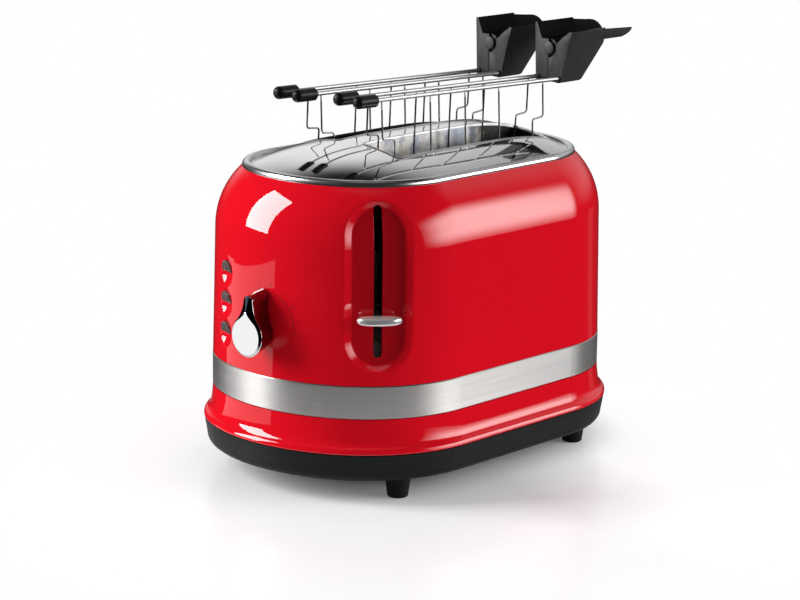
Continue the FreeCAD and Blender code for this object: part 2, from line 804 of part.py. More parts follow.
def browning_knob():
    """Chrome control knob: sides drawn in toward the front, then a bevel round an egg-shaped face."""
    back = -half_length - 0.3
    front = knob_radius - knob_bevel
    sections = [
        teardrop(back, knob_radius + 1.0, 4.1, knob_tip + 1.0, 21.0),
        teardrop(knob_front + knob_bevel_depth, knob_radius, 3.1, knob_tip, 22.0),
        teardrop(knob_front, front, 0.6, front + 4.1, 30.0),
    ]
    knob = Part.makeLoft(sections, True, True)
    bore = rod(knob_axis(back - 9), knob_axis(back + 2), knob_shaft_radius + 0.02)
    return knob.cut(bore)


def knob_shaft():
    """Round shaft with a flat, from the knob into the control."""
    shaft = rod(knob_axis(-half_length - 8), knob_axis(board_front + 6), knob_shaft_radius)
    flat = box(-half_length - 9, -half_length + 2, knob_y - 5, knob_y + 5, knob_height + 2.0, knob_height + 6)
    return shaft.cut(flat)


def browning_control():
    """Rotary control behind the wall, bushed for the shaft and fixed to the timer board."""
    can = rod(knob_axis(control_front), knob_axis(board_front - 0.5), 9.5)
    neck = rod(knob_axis(control_front - 5), knob_axis(control_front), 4.6)
    bore = rod(knob_axis(control_front - 11), knob_axis(board_front + 1), knob_shaft_radius + running_fit)
    return can.fuse(neck).cut(bore)


def timer_board():
    """Upright board with a transformer, a relay and two capacitors."""
    base = chassis_floor_z + chassis_sheet
    back = board_front + 1.6
    board = box(board_front, back, -34, 30, base, 150)
    hole = rod(knob_axis(board_front - 2), knob_axis(board_front + 8), knob_shaft_radius + 1)
    parts = [box(back, back + 14.4, -30, -8, 46, 66), box(back, back + 10.4, 2, 18, 48, 62)]
    parts += [rod(Vector(back, y, 84), Vector(back + 12.4, y, 84), 4) for y in (8, 20)]
    return board.cut(hole).multiFuse(parts).removeSplitter()


def board_place(height):
    """Point of the switch board's plane, under the middle button, at a height."""
    point, out = button_place(button_heights[1])
    return Vector(point.x, point.y, height), out


def switch_board():
    """Upright board behind the push buttons."""
    board = box(-19.6, -18, -10, 14, chassis_floor_z + chassis_sheet, 150)
    return turned(board, *board_place(0))


def button_switch(height):
    """Key switch on the board, its plunger short of the button."""
    point, out = board_place(height)
    case = box(-18, -14, -4, 4, 0.5, 7.5)
    plunger = rod(Vector(-14, 0, 4), Vector(-12.3, 0, 4), 1.6)
    return turned(case.fuse(plunger), point, out)


def push_button(height):
    """Smoke-coloured half-moon button with a sloping front face."""
    point, out = button_place(height)
    block = button_block(0, -10, 0.9)
    slope = outline_face([(0.9, 8.5), (0.9, 5.6), (-0.5, 0), (3, 0), (3, 8.5)])
    slope = slope.extrude(Vector(0, 20, 0))
    slope.translate(Vector(0, -10, 0))
    return turned(block.cut(slope), point, out)


def crumb_tray():
    """Shallow tray that slides out at the rear."""
    rear = half_length - 5
    floor = box(tray_front_x, rear - 16, -tray_half_width, tray_half_width, tray_bottom, tray_bottom + 0.8)
    walls = [
        box(tray_front_x, rear - 16, y - 0.4, y + 0.4, tray_bottom, tray_bottom + 6)
        for y in (-tray_half_width + 0.4, tray_half_width - 0.4)
    ]
    front = box(tray_front_x, tray_front_x + 0.8, -tray_half_width, tray_half_width,
                tray_bottom, tray_bottom + 6)
    tongue = box(rear - 17, rear - 8, -30, 30, tray_bottom, tray_bottom + 0.8)
    return joined([floor, front, tongue] + walls)


def tray_grip():
    """Moulded grip that closes the tray's opening in the pan, with a finger hollow below."""
    steps = [(-1.5, tray_bottom), (4.6, tray_bottom), (5.6, tray_bottom + grip_height - 1.0),
             (-1.5, tray_bottom + grip_height - 1.0)]
    skin = ring(outline_face(steps))
    window = box(rear_reach() - 33, half_length + 15, -grip_half_width + 0.5, grip_half_width - 0.5, 0, 60)
    grip = skin.common(window)
    below = Vector(half_length + 12, 0, tray_bottom - 12)
    hollow = rod(below, below + Vector(0, 0, 18), 19)
    block = box(rear_reach() - 1, rear_reach() + 8, -29, 29, tray_bottom, tray_bottom + 6)
    return grip.fuse(block).cut(hollow).removeSplitter()


def rear_reach():
    """Where the tray's tongue ends and its grip begins."""
    return half_length - 12


def gland_place():
    """Where the gland passes the rear corner of the pan, and which way it faces."""
    return wall_point(recess_angle, -1) * -1, facing(recess_angle, -1) * -1


def cord_gland():
    """Gland in the rear corner of the pan for the supply cord, with a flange inside the wall."""
    def along(start, end, radius):
        return rod(Vector(start, 0, gland_height), Vector(end, 0, gland_height), radius)

    gland = joined([along(-3, 13, gland_radius), along(-1.6, 0.6, gland_radius + 1.8)])
    return turned(gland.cut(along(-4, 14, gland_radius - 1.7)), *gland_place())


def screw_steps(grow):
    """Half outline of a pan-head screw, seen from the side."""
    shank = screw_radius + grow
    head = screw_radius * 1.9 + grow
    return [(0, pan_bottom - 1 - grow), (head, pan_bottom - 1 - grow), (head, pan_bottom + 1.4 + grow),
            (shank, pan_bottom + 1.4 + grow), (shank, 31 + grow), (0, 31 + grow)]


def base_screw(x, y, grow=0.0):
    """Pan-head screw up into a post of the pan."""
    screw = outline_face(screw_steps(grow)).revolve(home, up, 360)
    screw.translate(Vector(x, y, 0))
    return screw


def bent_wire(points, radius, bend):
    """Round wire through the points, its corners turned on a bend radius."""
    edges = []
    start = points[0]
    for before, corner, after in zip(points, points[1:], points[2:]):
        back = (before - corner).normalize()
        ahead = (after - corner).normalize()
        turn = math.pi - back.getAngle(ahead)
        reach = bend * math.tan(turn / 2)
        first = corner + back * reach
        last = corner + ahead * reach
        inward = (back + ahead).normalize()
        middle = corner + inward * (bend / math.cos(turn / 2) - bend)
        edges.append(Part.makeLine(start, first))
        edges.append(Part.Arc(first, middle, last).toShape())
        start = last
    edges.append(Part.makeLine(start, points[-1]))
    path = Part.Wire(edges)
    profile = Part.Face(Part.Wire(Part.makeCircle(radius, points[0], points[1] - points[0])))
    return path.makePipe(profile)


def rail_z(x):
    return rail_height + rail_slope * x


def cage_y(side, z):
    """How far a cage wire stands from the clamp's middle at a height."""
    if z > bow_height:
        share = (rail_height - z) / (rail_height - bow_height)
        return side * (rail_offset + share * (bow_offset - rail_offset))
    share = (bow_height - z) / (bow_height - foot_bar_height)
    return side * (bow_offset + share * (foot_offset - bow_offset))


def wire_grid(side, middle, cap_x):
    """One welded grid: rail, bent end frame, upright wires and two cross wires."""

    def at(x, z):
        return Vector(x, cage_y(side, z), z)

    rail = rod(Vector(cap_x + cap_wall, side * rail_offset, rail_z(cap_x + cap_wall)),
               Vector(handle_front + 12, side * rail_offset, rail_z(handle_front + 12)), rail_radius)
    left = middle - end_wire_reach
    right = middle + end_wire_reach
    bend = 2.2
    shoulder = joggle_height
    drop = rail_slope * 100
    frame = bent_wire(
        [
            at(left, rail_z(left)), at(left, shoulder + 1), at(left + joggle, shoulder),
            at(left + joggle, bow_height), at(left + joggle, foot_bar_height),
            at(right - joggle, foot_bar_height), at(right - joggle, bow_height),
            at(right - joggle, shoulder + drop), at(right, shoulder + drop + 1), at(right, rail_z(right)),
        ],
        cage_wire, bend)
    pieces = [rail, frame]
    for pitch in wire_pitches:
        x = middle + pitch
        pieces.append(bent_wire([at(x, rail_z(x)), at(x, bow_height), at(x, foot_bar_height)],
                                cage_wire, 30))
    for height in (112.0, 150.0):
        y = cage_y(side, height)
        pieces.append(rod(Vector(left + joggle, y, height), Vector(right - joggle, y, height), cage_wire))
    return joined(pieces)


def rail_cap(side, x):
    """Rubber sleeve with a domed end and a chamfered mouth, slipped over the rail's end."""
    r = cap_radius
    steps = [(0, 0), (0.9, r * 0.75, "mid"), (3.0, r), (cap_length - 1.4, r), (cap_length, r - 1.1),
             (cap_length, rail_radius + 0.02), (cap_wall - 0.1, rail_radius + 0.02), (cap_wall - 0.1, 0)]
    cap = outline_face(steps).revolve(home, Vector(1, 0, 0), 360)
    cap.rotate(home, Vector(0, 1, 0), -math.degrees(math.atan(rail_slope)))
    cap.translate(Vector(x, side * rail_offset, rail_z(x)))
    return cap


def handle_bar(steps, side, length):
    """Bar with a section drawn as distance out from the clamp's middle and height over the rail."""
    face = outline_face([(side * out, rise) for out, rise in steps],
                        lambda y, z: Vector(handle_front, y, rail_height + z))
    return face.extrude(Vector(length, 0, 0))


def side_block(steps):
    """Block across the handle, drawn as distance behind its front face and height over the rail."""
    face = outline_face([(handle_front + step[0], rail_height + step[1]) + tuple(step[2:]) for step in steps])
    block = face.extrude(Vector(0, 80, 0))
    block.translate(Vector(0, -40, 0))
    return block


def knuckle(x0, x1, radius):
    return rod(Vector(x0, 0, pivot_height), Vector(x1, 0, pivot_height), radius)


def handle_half(side):
    """One moulded half of the handle: block, knuckle, grip wing and the socket of its rail."""
    near = side < 0
    if near:
        block_steps = [(0.25, -5.0), (9.6, -5.8), (11.0, -4.8), (18.1, 24.2), (18.4, 30.6),
                       (12.3, 26.3), (7.7, 21.9), (0.25, 17.0)]
        wing_steps = [(16.4, 22.0), (18.2, 23.6), (20.4, 30.4), (18.3, 30.9)]
        wing_end = wing_end_near
    else:
        block_steps = [(0.25, -5.0), (9.0, -5.0), (10.2, -3.6), (10.9, 1.0), (12.2, 34.9),
                       (10.6, 35.1), (6.2, 24.2), (0.25, 24.2)]
        wing_steps = [(9.6, 20.0), (11.6, 20.0), (12.2, 34.9), (10.6, 35.1)]
        wing_end = wing_end_far
    rear = side_block([(21, -11), (23, -6), (40.5, 20.5), (40.5, 39), (64, 39), (64, -11)])
    block = handle_bar(block_steps, side, 40).cut(rear)
    wing = handle_bar(wing_steps, side, wing_end - handle_front).cut(wing_trim(near))
    half = block.fuse(wing)

    own = ((knuckle_ends[1], knuckle_ends[2]),) if near else (
        (knuckle_ends[0], knuckle_ends[1]), (knuckle_ends[3], knuckle_ends[4]))
    other = ((knuckle_ends[0], knuckle_ends[1]), (knuckle_ends[3], knuckle_ends[4])) if near else (
        (knuckle_ends[1], knuckle_ends[2]),)
    clear = [knuckle(a - (1 if a == handle_front else knuckle_gap), b + knuckle_gap,
                     knuckle_radius + knuckle_gap) for a, b in other]
    clear.append(knuckle(knuckle_ends[2] - 0.1, knuckle_ends[3] + 0.1, knuckle_radius + knuckle_gap))
    half = half.cut(Part.makeCompound(clear))
    half = half.multiFuse([knuckle(a, b, knuckle_radius) for a, b in own])
    bore = knuckle(handle_front + 2.5, knuckle_ends[4] + 1, pivot_radius + 0.05)
    socket = rod(Vector(handle_front - 2, side * rail_offset, rail_z(handle_front - 2)),
                 Vector(handle_front + 12.2, side * rail_offset, rail_z(handle_front + 12.2)),
                 rail_radius + 0.02)
    half = half.cut(bore).cut(socket)
    if not near:
        half = half.cut(disc_groove())
    return half.removeSplitter()


def wing_trim(near):
    """Cuts the end of a wing to its rounded or bevelled outline, seen from the side."""
    if near:
        tip = side_block([(60, 14), (60, 21.2), (67.5, 25.2), (69, 27), (69, 39), (79, 39), (79, 14)])
        slope = side_block([(-1, 31.3), (69, 28.4), (69, 39), (-1, 39)])
    else:
        tip = side_block([(39, 39), (39, 34.0), (57.5, 32.2), (68.5, 29.2, "mid"), (75, 22.0),
                          (75, 14), (84, 14), (84, 39)])
        slope = side_block([(-1, 35.2), (41, 33.9), (41, 39), (-1, 39)])
    return tip.fuse(slope)


def disc_groove():
    """Half-round groove that sets off the pivot's boss on the front face."""
    groove = tube(Vector(handle_front - 1, 0, pivot_height), Vector(handle_front + 2, 0, pivot_height),
                  knuckle_radius + 1, 4.4)
    window = box(handle_front - 2, handle_front + 3, -12, 0, pivot_height - 12, pivot_height + 12)
    return groove.common(window)


def pivot_pin():
    return knuckle(handle_front + 3.0, knuckle_ends[4], pivot_radius)


def pivot_spring():
    """Torsion spring round the pin, drawn as a plain sleeve."""
    a = Vector(knuckle_ends[2] + 0.8, 0, pivot_height)
    b = Vector(knuckle_ends[3] - 0.8, 0, pivot_height)
    return tube(a, b, 3.4, pivot_radius + 0.4)


def export_clamp(name, y, shift):
    """Writes the eight pieces of a clamp that stands in the slot at y."""
    place = Vector(0, y, 0) + shift
    pieces = {
        "pin": pivot_pin(),
        "spring": pivot_spring(),
        "near_handle": handle_half(-1),
        "far_handle": handle_half(1),
        "near_grid": wire_grid(-1, near_grid_x, cap_near_x),
        "far_grid": wire_grid(1, far_grid_x, cap_far_x),
        "near_cap": rail_cap(-1, cap_near_x),
        "far_cap": rail_cap(1, cap_far_x),
    }
    for piece, shape in pieces.items():
        shape.translate(place)
        export(name + "_" + piece, shape)


def main():
    os.makedirs("parts", exist_ok=True)
    export("body_shell", body_shell())
    export("trim_band", trim_band())
    export("base_skirt", base_skirt())
    export("base_pan", base_pan())
    export("rubber_feet", *[rubber_foot(x, y) for x, y in four_places(foot_x, foot_y)])
    export("top_plate", top_plate())

    export("chassis_floor", chassis_floor())
    export("chassis_front_plate", chassis_plate(front_plate_x, 1))
    export("chassis_rear_plate", chassis_plate(rear_plate_x, -1))
    export("heat_shield_near", heat_shield(-1))
    export("heat_shield_far", heat_shield(1))
    export("heating_elements", *[heating_element(y) for y, side in card_places()])
    export("heating_wires", *[heating_ribbon(y, side) for y, side in card_places()])
    export("near_slot_guards", *[slot_guard(-slot_offset, side) for side in (-1, 1)])
    export("far_slot_guards", *[slot_guard(slot_offset, side) for side in (-1, 1)])
    export("guide_rods", *guide_rods())
    export("rod_bracket", rod_bracket())
    export("latch_magnet", latch_magnet())
    export("lift_spring", lift_spring())
    export("timer_board", timer_board())
    export("browning_control", browning_control())
    export("switch_board", switch_board())
    export("button_switches", *[button_switch(z) for z in button_heights])
    export("cord_gland", cord_gland())
    export("base_screws", *[base_screw(x, y) for x, y in four_places(post_x, post_y)])

    export("carriage_block", carriage_block())
    export("bread_racks", *[bread_rack(y) for y in (-slot_offset, slot_offset)])
    export("lever_arm", lever_arm())
    export("lever_cap", lever_cap())
    export("latch_keeper", latch_keeper())

    export("browning_knob", browning_knob())
    export("knob_shaft", knob_shaft())
    for name, height in zip(("upper", "middle", "lower"), button_heights):
        export(name + "_button", push_button(height))
    export("crumb_tray", crumb_tray())
    export("tray_grip", tray_grip())
    for name, (y, shift) in zip(("near_clamp", "far_clamp"), clamp_frames()):
        export_clamp(name, y, shift)


main()
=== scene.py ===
"""Looks of the clamp toaster: finishes, finer outer pieces, studio light and the camera.

The scene is in metres. Shapes are worked out in millimetres from the middle of the body.
"""

import math

import bmesh
import bpy
from mathutils import Matrix, Vector


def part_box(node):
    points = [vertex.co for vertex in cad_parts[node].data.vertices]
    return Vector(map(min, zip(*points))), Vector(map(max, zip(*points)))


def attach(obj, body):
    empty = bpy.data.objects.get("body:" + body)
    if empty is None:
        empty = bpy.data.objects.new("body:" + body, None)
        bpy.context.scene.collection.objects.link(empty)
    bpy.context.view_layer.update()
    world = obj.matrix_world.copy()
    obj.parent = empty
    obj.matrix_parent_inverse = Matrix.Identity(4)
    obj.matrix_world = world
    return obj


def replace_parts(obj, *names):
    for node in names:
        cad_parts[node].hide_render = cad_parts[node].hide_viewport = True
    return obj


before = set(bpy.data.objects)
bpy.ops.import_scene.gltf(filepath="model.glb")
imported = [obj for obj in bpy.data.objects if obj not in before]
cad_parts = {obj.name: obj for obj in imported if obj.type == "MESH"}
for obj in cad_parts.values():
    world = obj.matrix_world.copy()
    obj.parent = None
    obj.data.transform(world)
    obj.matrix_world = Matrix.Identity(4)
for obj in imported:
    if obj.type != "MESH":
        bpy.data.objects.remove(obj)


def note_size():
    """Brings the scene up to date, before or after the finer pieces replace the plain ones."""
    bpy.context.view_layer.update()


note_size()

mm = 0.001
row_shift = -12.25 * mm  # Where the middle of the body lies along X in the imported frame.

# Camera, fitted to the outlines in the photograph.
camera_azimuth = math.radians(-48.181)
camera_elevation = math.radians(13.066)
camera_roll = math.radians(0.802)
camera_distance = 1793.73 * mm
camera_side = -6.566 * mm
camera_rise = -5.037 * mm
camera_look = Vector((0, 0, 108.62 * mm))
focal_pixels = 2630.13
image_width = 800
sensor_width = 36.0


def add_object(name, data):
    """Puts new data into the scene as an object."""
    made = bpy.data.objects.new(name, data)
    bpy.context.scene.collection.objects.link(made)
    return made


def place_camera():
    """Puts the camera where the photograph was taken from."""
    cam = add_object("camera", bpy.data.cameras.new("camera"))
    bpy.context.scene.camera = cam
    back = Vector((math.sin(camera_azimuth) * math.cos(camera_elevation),
                   -math.cos(camera_azimuth) * math.cos(camera_elevation),
                   math.sin(camera_elevation)))
    side = (-back).cross(Vector((0, 0, 1))).normalized()
    rise = side.cross(-back)
    right = side * math.cos(camera_roll) + rise * math.sin(camera_roll)
    above = rise * math.cos(camera_roll) - side * math.sin(camera_roll)
    target = camera_look + right * camera_side + above * camera_rise
    place = target + back * camera_distance + Vector((row_shift, 0, 0))
    turn = Matrix((right, above, back)).transposed()
    cam.matrix_world = Matrix.Translation(place) @ turn.to_4x4()
    cam.data.sensor_width = sensor_width
    cam.data.lens = focal_pixels * sensor_width / image_width
    cam.data.clip_start = 0.05
    cam.data.clip_end = 60


place_camera()


# Node trees and materials.
class Tree:
    """Builds a node tree. A value is a constant, or the output of another node."""

    def __init__(self, tree):
        self.tree = tree

    def feed(self, socket, value):
        if isinstance(value, bpy.types.NodeSocket):
            self.tree.links.new(value, socket)
        else:
            socket.default_value = value

    def node(self, kind, **values):
        """New node; a value goes to the input of its name, or else to the property."""
        made = self.tree.nodes.new(kind)
        for key, value in values.items():
            if key in made.inputs:
                self.feed(made.inputs[key], value)
            else:
                setattr(made, key, value)
        return made

    def maths(self, operation, *values):
        """Result of a sum on numbers or patterns."""
        made = self.node("ShaderNodeMath", operation=operation)
        for socket, value in zip(made.inputs, values):
            self.feed(socket, value)
        return made.outputs["Value"]

    def hypot(self, first, second):
        """Length of the two sides of a right angle."""
        first = self.maths("POWER", self.maths("ABSOLUTE", first), 2.0)
        second = self.maths("POWER", self.maths("ABSOLUTE", second), 2.0)
        return self.maths("SQRT", self.maths("ADD", first, second))

    def spread(self, source, low, high, start=0.3, stop=0.7, shape="LINEAR"):
        """Maps a pattern that runs from start to stop to the range low to high."""
        span = self.node("ShaderNodeMapRange", interpolation_type=shape)
        self.feed(span.inputs["Value"], source)
        span.inputs["From Min"].default_value = start
        span.inputs["From Max"].default_value = stop
        span.inputs["To Min"].default_value = low
        span.inputs["To Max"].default_value = high
        return span.outputs["Result"]

    def mix_shaders(self, share, first, second):
        mix = self.node("ShaderNodeMixShader")
        for index, value in enumerate((share, first, second)):
            self.feed(mix.inputs[index], value)
        return mix.outputs["Shader"]


class Finish(Tree):
    """A node material built step by step round one principled shader."""

    def __init__(self, name, colour, roughness, metallic=0.0, **sockets):
        """Further sockets are named with _ for each space."""
        self.name = name
        self.material = bpy.data.materials.new(name)
        self.material.use_nodes = True
        super().__init__(self.material.node_tree)
        self.shader = self.tree.nodes["Principled BSDF"]
        self.roughness = roughness
        self.set("Base Color", (*colour, 1))
        self.set("Roughness", roughness)
        self.set("Metallic", metallic)
        for socket, value in sockets.items():
            self.set(socket.replace("_", " "), value)

    def set(self, socket, value):
        self.feed(self.shader.inputs[socket], value)

    def where(self, stretch=(1, 1, 1)):
        """Place on the object at rest, scaled along each axis."""
        place = self.node("ShaderNodeTexCoord").outputs["Object"]
        return self.node("ShaderNodeMapping", Scale=stretch, Vector=place).outputs["Vector"]

    def facing(self, axis="Z"):
        """How far the surface faces along an axis, -1 to 1, in the object's own frame."""
        normal = self.node("ShaderNodeTexCoord").outputs["Normal"]
        return self.node("ShaderNodeSeparateXYZ", Vector=normal).outputs[axis]

    def along(self, axis):
        """Distance of the surface along an axis given as a vector, in metres."""
        dot = self.node("ShaderNodeVectorMath", operation="DOT_PRODUCT")
        self.feed(dot.inputs[0], self.where())
        dot.inputs[1].default_value = axis
        return dot.outputs["Value"]

    def noise(self, scale, detail=4.0, stretch=(1, 1, 1), roughness=0.5):
        return self.node("ShaderNodeTexNoise", Scale=scale, Detail=detail, Roughness=roughness,
                         Vector=self.where(stretch)).outputs["Fac"]

    def cover(self, share, colour):
        """Lays a colour over the present one by a share."""
        base = self.shader.inputs["Base Color"]
        mix = self.node("ShaderNodeMix", data_type="RGBA")
        self.feed(mix.inputs[0], share)
        self.feed(mix.inputs[6], base.links[0].from_socket if base.links else tuple(base.default_value))
        mix.inputs[7].default_value = (*colour, 1)
        self.feed(base, mix.outputs[2])

    def vary_colour(self, source, other, start=0.3, stop=0.7):
        self.cover(self.spread(source, 0.0, 1.0, start, stop), other)

    def vary_roughness(self, source, amount):
        self.set("Roughness", self.spread(source, self.roughness - amount, self.roughness + amount))

    def relief(self, source, height, strength):
        """Adds fine relief, height in metres."""
        bump = self.node("ShaderNodeBump", Strength=strength, Distance=height, Height=source)
        self.set("Normal", bump.outputs["Normal"])

    def surface(self, share, first, second):
        """Shows a mix of two shader nodes."""
        mixed = self.mix_shaders(share, first.outputs[0], second.outputs[0])
        self.feed(self.tree.nodes["Material Output"].inputs["Surface"], mixed)


def grey(level):
    return (level, level, level)


def patterned(name, colour, roughness, metallic=0.0, tint=None, wear=None, grain=None, **sockets):
    """A finish with noise in its colour (noise, other colour), its roughness (noise, amount either way)
    and its relief (noise, height, strength). A noise is given as its scale, detail and stretch."""
    made = Finish(name, colour, roughness, metallic, **sockets)
    for change, values in ((made.vary_colour, tint), (made.vary_roughness, wear), (made.relief, grain)):
        if values:
            change(made.noise(*values[0]), *values[1:])
    return made


def red_paint(name):
    """Gloss enamel with a slight flow in its clear surface."""
    return patterned(name, (0.70, 0.004, 0.013), 0.32, Coat_Weight=1.0, Coat_Roughness=0.02, Coat_IOR=1.55,
                     Specular_IOR_Level=0.0, tint=((900, 2.0), (0.73, 0.005, 0.015)),
                     grain=((55, 2.0), 0.00003, 0.25))


def brushed_trim():
    """Steel strip brushed lengthwise."""
    trim = Finish("brushed_trim", (0.52, 0.51, 0.50), 0.38, 0.93, Anisotropic=0.7, Anisotropic_Rotation=0.25)
    lines = trim.noise(1.0, 5.0, (14, 14, 5200), 0.6)
    trim.vary_colour(lines, (0.68, 0.67, 0.655))
    trim.vary_roughness(lines, 0.07)
    trim.relief(lines, 0.000012, 0.5)
    return trim


def rubber(name, colour, roughness):
    return patterned(name, colour, roughness, Specular_IOR_Level=0.2, wear=((300,), 0.06),
                     grain=((3200, 3.0), 0.00003, 0.5))


def chrome(name, colour=grey(0.86), roughness=0.055):
    """Polished plate with faint wipe marks."""
    return patterned(name, colour, roughness, 1.0, wear=((60, 5.0), 0.02), grain=((30, 2.0), 0.00002, 0.2))


def top_chrome():
    """Polished crown; the steep rolled edges of the slots are satin, with painted shade: a darker grey, and
    black on the far slot.
    """
    # The darker grey that stays on the steep edges is painted shade that dims their highlights.
    plate = patterned("top_chrome", grey(0.42), 0.055, 1.0, grain=((30, 2.0), 0.00002, 0.2))
    flat = plate.spread(plate.facing(), 0.0, 1.0, 0.62, 0.86)
    steep = plate.spread(plate.facing(), 1.0, 0.0, 0.45, 0.75)
    far_half = plate.spread(plate.along((0, 1, 0)), 0.0, 1.0, 0.005, 0.008)
    plate.set("Roughness", plate.spread(flat, 0.42, 0.055, 0.0, 1.0))
    plate.cover(flat, grey(0.86))
    # Painted shade: black on the steep edges of the far slot.
    plate.cover(plate.maths("MULTIPLY", steep, far_half), grey(0.012))
    return plate


def sheet_metal(name, colour, roughness):
    return patterned(name, colour, roughness, 1.0, tint=((120, 4.0), tuple(c * 0.8 for c in colour)),
                     wear=((400, 4.0), 0.08), grain=((700, 3.0), 0.00002, 0.4))


def cage_steel():
    """Plated wire: bright on the thick rails, with painted shade on their undersides and on the thin wires
    below them.
    """
    wire = Finish("cage_steel", (0.20, 0.20, 0.205), 0.26, 1.0)
    rail_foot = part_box("near_clamp_near_handle")[0].z + 0.0005
    high = wire.spread(wire.along((0, 0, 1)), 0.0, 1.0, rail_foot, rail_foot + 0.001)
    # Painted shade: the rails' downward faces and the thin wires keep the dark base colour.
    wire.cover(wire.maths("MULTIPLY", high, wire.spread(wire.facing(), 0.1, 1.0, -0.5, 0.15)),
               (0.74, 0.735, 0.73))
    wire.set("Roughness", wire.spread(high, 0.2, 0.5, 0.0, 1.0))
    return wire


def knob_chrome():
    """Chrome with painted light: bright face, painted reflection on the downward faces, painted highlight on
    the upward faces, painted shade on the bevel and sides.
    """
    plate = patterned("knob_chrome", (0.002, 0.0025, 0.0045), 0.05, 1.0, wear=((60, 5.0), 0.02))
    depth = plate.maths("SUBTRACT", plate.along((1, 0, 0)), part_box("browning_knob")[0].x)
    sideways = plate.maths("ABSOLUTE", plate.facing("X"))
    # Painted light by facing: the near black base is painted shade on the bevel; downward faces get a painted
    # reflection, sides a dim grey painted shade, upward faces a painted highlight; the face itself stays
    # bright chrome.
    plate.cover(plate.spread(plate.facing(), 1.0, 0.0, -0.45, -0.2), grey(0.72))
    plate.cover(plate.spread(sideways, 1.0, 0.0, 0.30, 0.42), (0.24, 0.23, 0.24))
    plate.cover(plate.spread(plate.facing(), 0.0, 1.0, 0.93, 0.98), grey(0.8))
    plate.cover(plate.spread(depth, 1.0, 0.0, 0.0001, 0.0002), grey(0.99))
    return plate


def moulded(name, colour, roughness):
    return patterned(name, colour, roughness, Specular_IOR_Level=0.4, wear=((220, 4.0), 0.04),
                     grain=((4200, 3.0), 0.00002, 0.45))


def clamp_plastic(name, inward):
    """Satin moulding, with painted shade: matt black on the faces that look up or across into the grip."""
    plastic = patterned(name, (0.027, 0.027, 0.0275), 0.42, Specular_IOR_Level=0.32,
                        tint=((90, 5.0), (0.034, 0.034, 0.0345)), wear=((220, 4.0), 0.04),
                        grain=((4200, 3.0), 0.00002, 0.45))
    # Painted shade: faces that look up or inward into the grip show matt black instead of the satin moulding.
    shade_black = plastic.node("ShaderNodeBsdfDiffuse", Color=(0.004, 0.004, 0.0042, 1))
    upward = plastic.spread(plastic.facing(), 0.0, 0.95, 0.08, 0.3)
    across = plastic.spread(plastic.maths("MULTIPLY", plastic.facing("Y"), inward), 0.0, 0.95, 0.7, 0.85)
    plastic.surface(plastic.maths("MAXIMUM", upward, across), plastic.shader, shade_black)
    return plastic


def lining(name):
    """Bright rolled sheet with blue and cream cloudiness as painted reflection; painted shade at one end, or
    for the far slot at the lip.
    """
    # The blue and cream cloudiness is painted reflection.
    sheet = patterned(name, (0.40, 0.43, 0.50), 0.4, 1.0, wear=((260, 4.0), 0.1),
                      tint=((55, 5.0, (1, 1, 0.6), 0.65), (0.92, 0.87, 0.78), 0.42, 0.6),
                      grain=((130, 3.0), 0.0002, 0.35))
    # Painted shade: near black over the top of the far slot's lining, and over one end of the near slot's
    # lining, its edge wobbled by noise.
    if name == "far_lining":
        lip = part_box("top_plate")[1].z
        dark = sheet.spread(sheet.along((0, 0, 1)), 0.0, 1.0, lip - 0.026, lip - 0.018)
    else:
        cloud = sheet.maths("MULTIPLY", sheet.noise(70, 3.0), 0.03)
        dark = sheet.spread(sheet.maths("ADD", sheet.along((1, 0, 0)), cloud), 0.0, 0.97, 0.052, 0.062)
    sheet.cover(dark, grey(0.012))
    return sheet


finishes = {made.name: made.material for made in (
    red_paint("red_paint"), brushed_trim(), top_chrome(), knob_chrome(), cage_steel(),
    chrome("chrome_plate"),
    chrome("knob_edge", grey(0.8), 0.12),
    chrome("chrome_trim", grey(0.9), 0.05),
    chrome("plate_bead", (0.66, 0.66, 0.67), 0.24),
    lining("lining"), lining("far_lining"),
    clamp_plastic("clamp_plastic", 1), clamp_plastic("far_grip", -1),
    rubber("foot_rubber", (0.004, 0.004, 0.0045), 0.6),
    rubber("cap_rubber", (0.005, 0.005, 0.0055), 0.36),
    sheet_metal("plated_sheet", (0.58, 0.58, 0.57), 0.32),
    sheet_metal("resistance_wire", (0.36, 0.34, 0.33), 0.5),
    sheet_metal("coil_core", (0.45, 0.25, 0.12), 0.45),
    sheet_metal("spring_steel", (0.45, 0.45, 0.46), 0.35),
    moulded("black_plastic", (0.012, 0.012, 0.013), 0.4),
    moulded("pivot_plastic", (0.045, 0.038, 0.038), 0.45),
    patterned("pan_plastic", (0.007, 0.0085, 0.008), 0.42, Specular_IOR_Level=0.15,
              wear=((240,), 0.05), grain=((2600, 3.0), 0.00003, 0.5)),
    patterned("lever_satin", (0.86, 0.87, 0.87), 0.22, 0.72,
              wear=((60, 5.0), 0.04), grain=((40, 2.0), 0.00002, 0.2)),
    patterned("dial_print", (0.10, 0.004, 0.006), 0.35, tint=((1500, 3.0), (0.14, 0.006, 0.009))),
    patterned("mica", (0.42, 0.36, 0.27), 0.45, Coat_Weight=0.3,
              tint=((160, 6.0), (0.30, 0.25, 0.18)), grain=((220, 5.0), 0.0001, 0.4)),
    patterned("circuit_board", (0.02, 0.14, 0.06), 0.4,
              tint=((380, 4.0), (0.03, 0.2, 0.09)), grain=((500, 2.0), 0.00005, 0.4)),
    patterned("smoke_plastic", (0.05, 0.04, 0.04), 0.25, Coat_Weight=0.5, Coat_Roughness=0.08,
              tint=((330, 4.0, (1, 1, 1.6)), (0.17, 0.13, 0.125)), grain=((500, 2.0), 0.00002, 0.3)),
)}


def dress(node):
    """Gives a CAD piece the finer finish of its material slot."""
    slots = node.data.materials
    for index, material in enumerate(slots):
        if material is not None and material.name.split(".")[0] in finishes:
            slots[index] = finishes[material.name.split(".")[0]]


for cad_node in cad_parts.values():
    dress(cad_node)


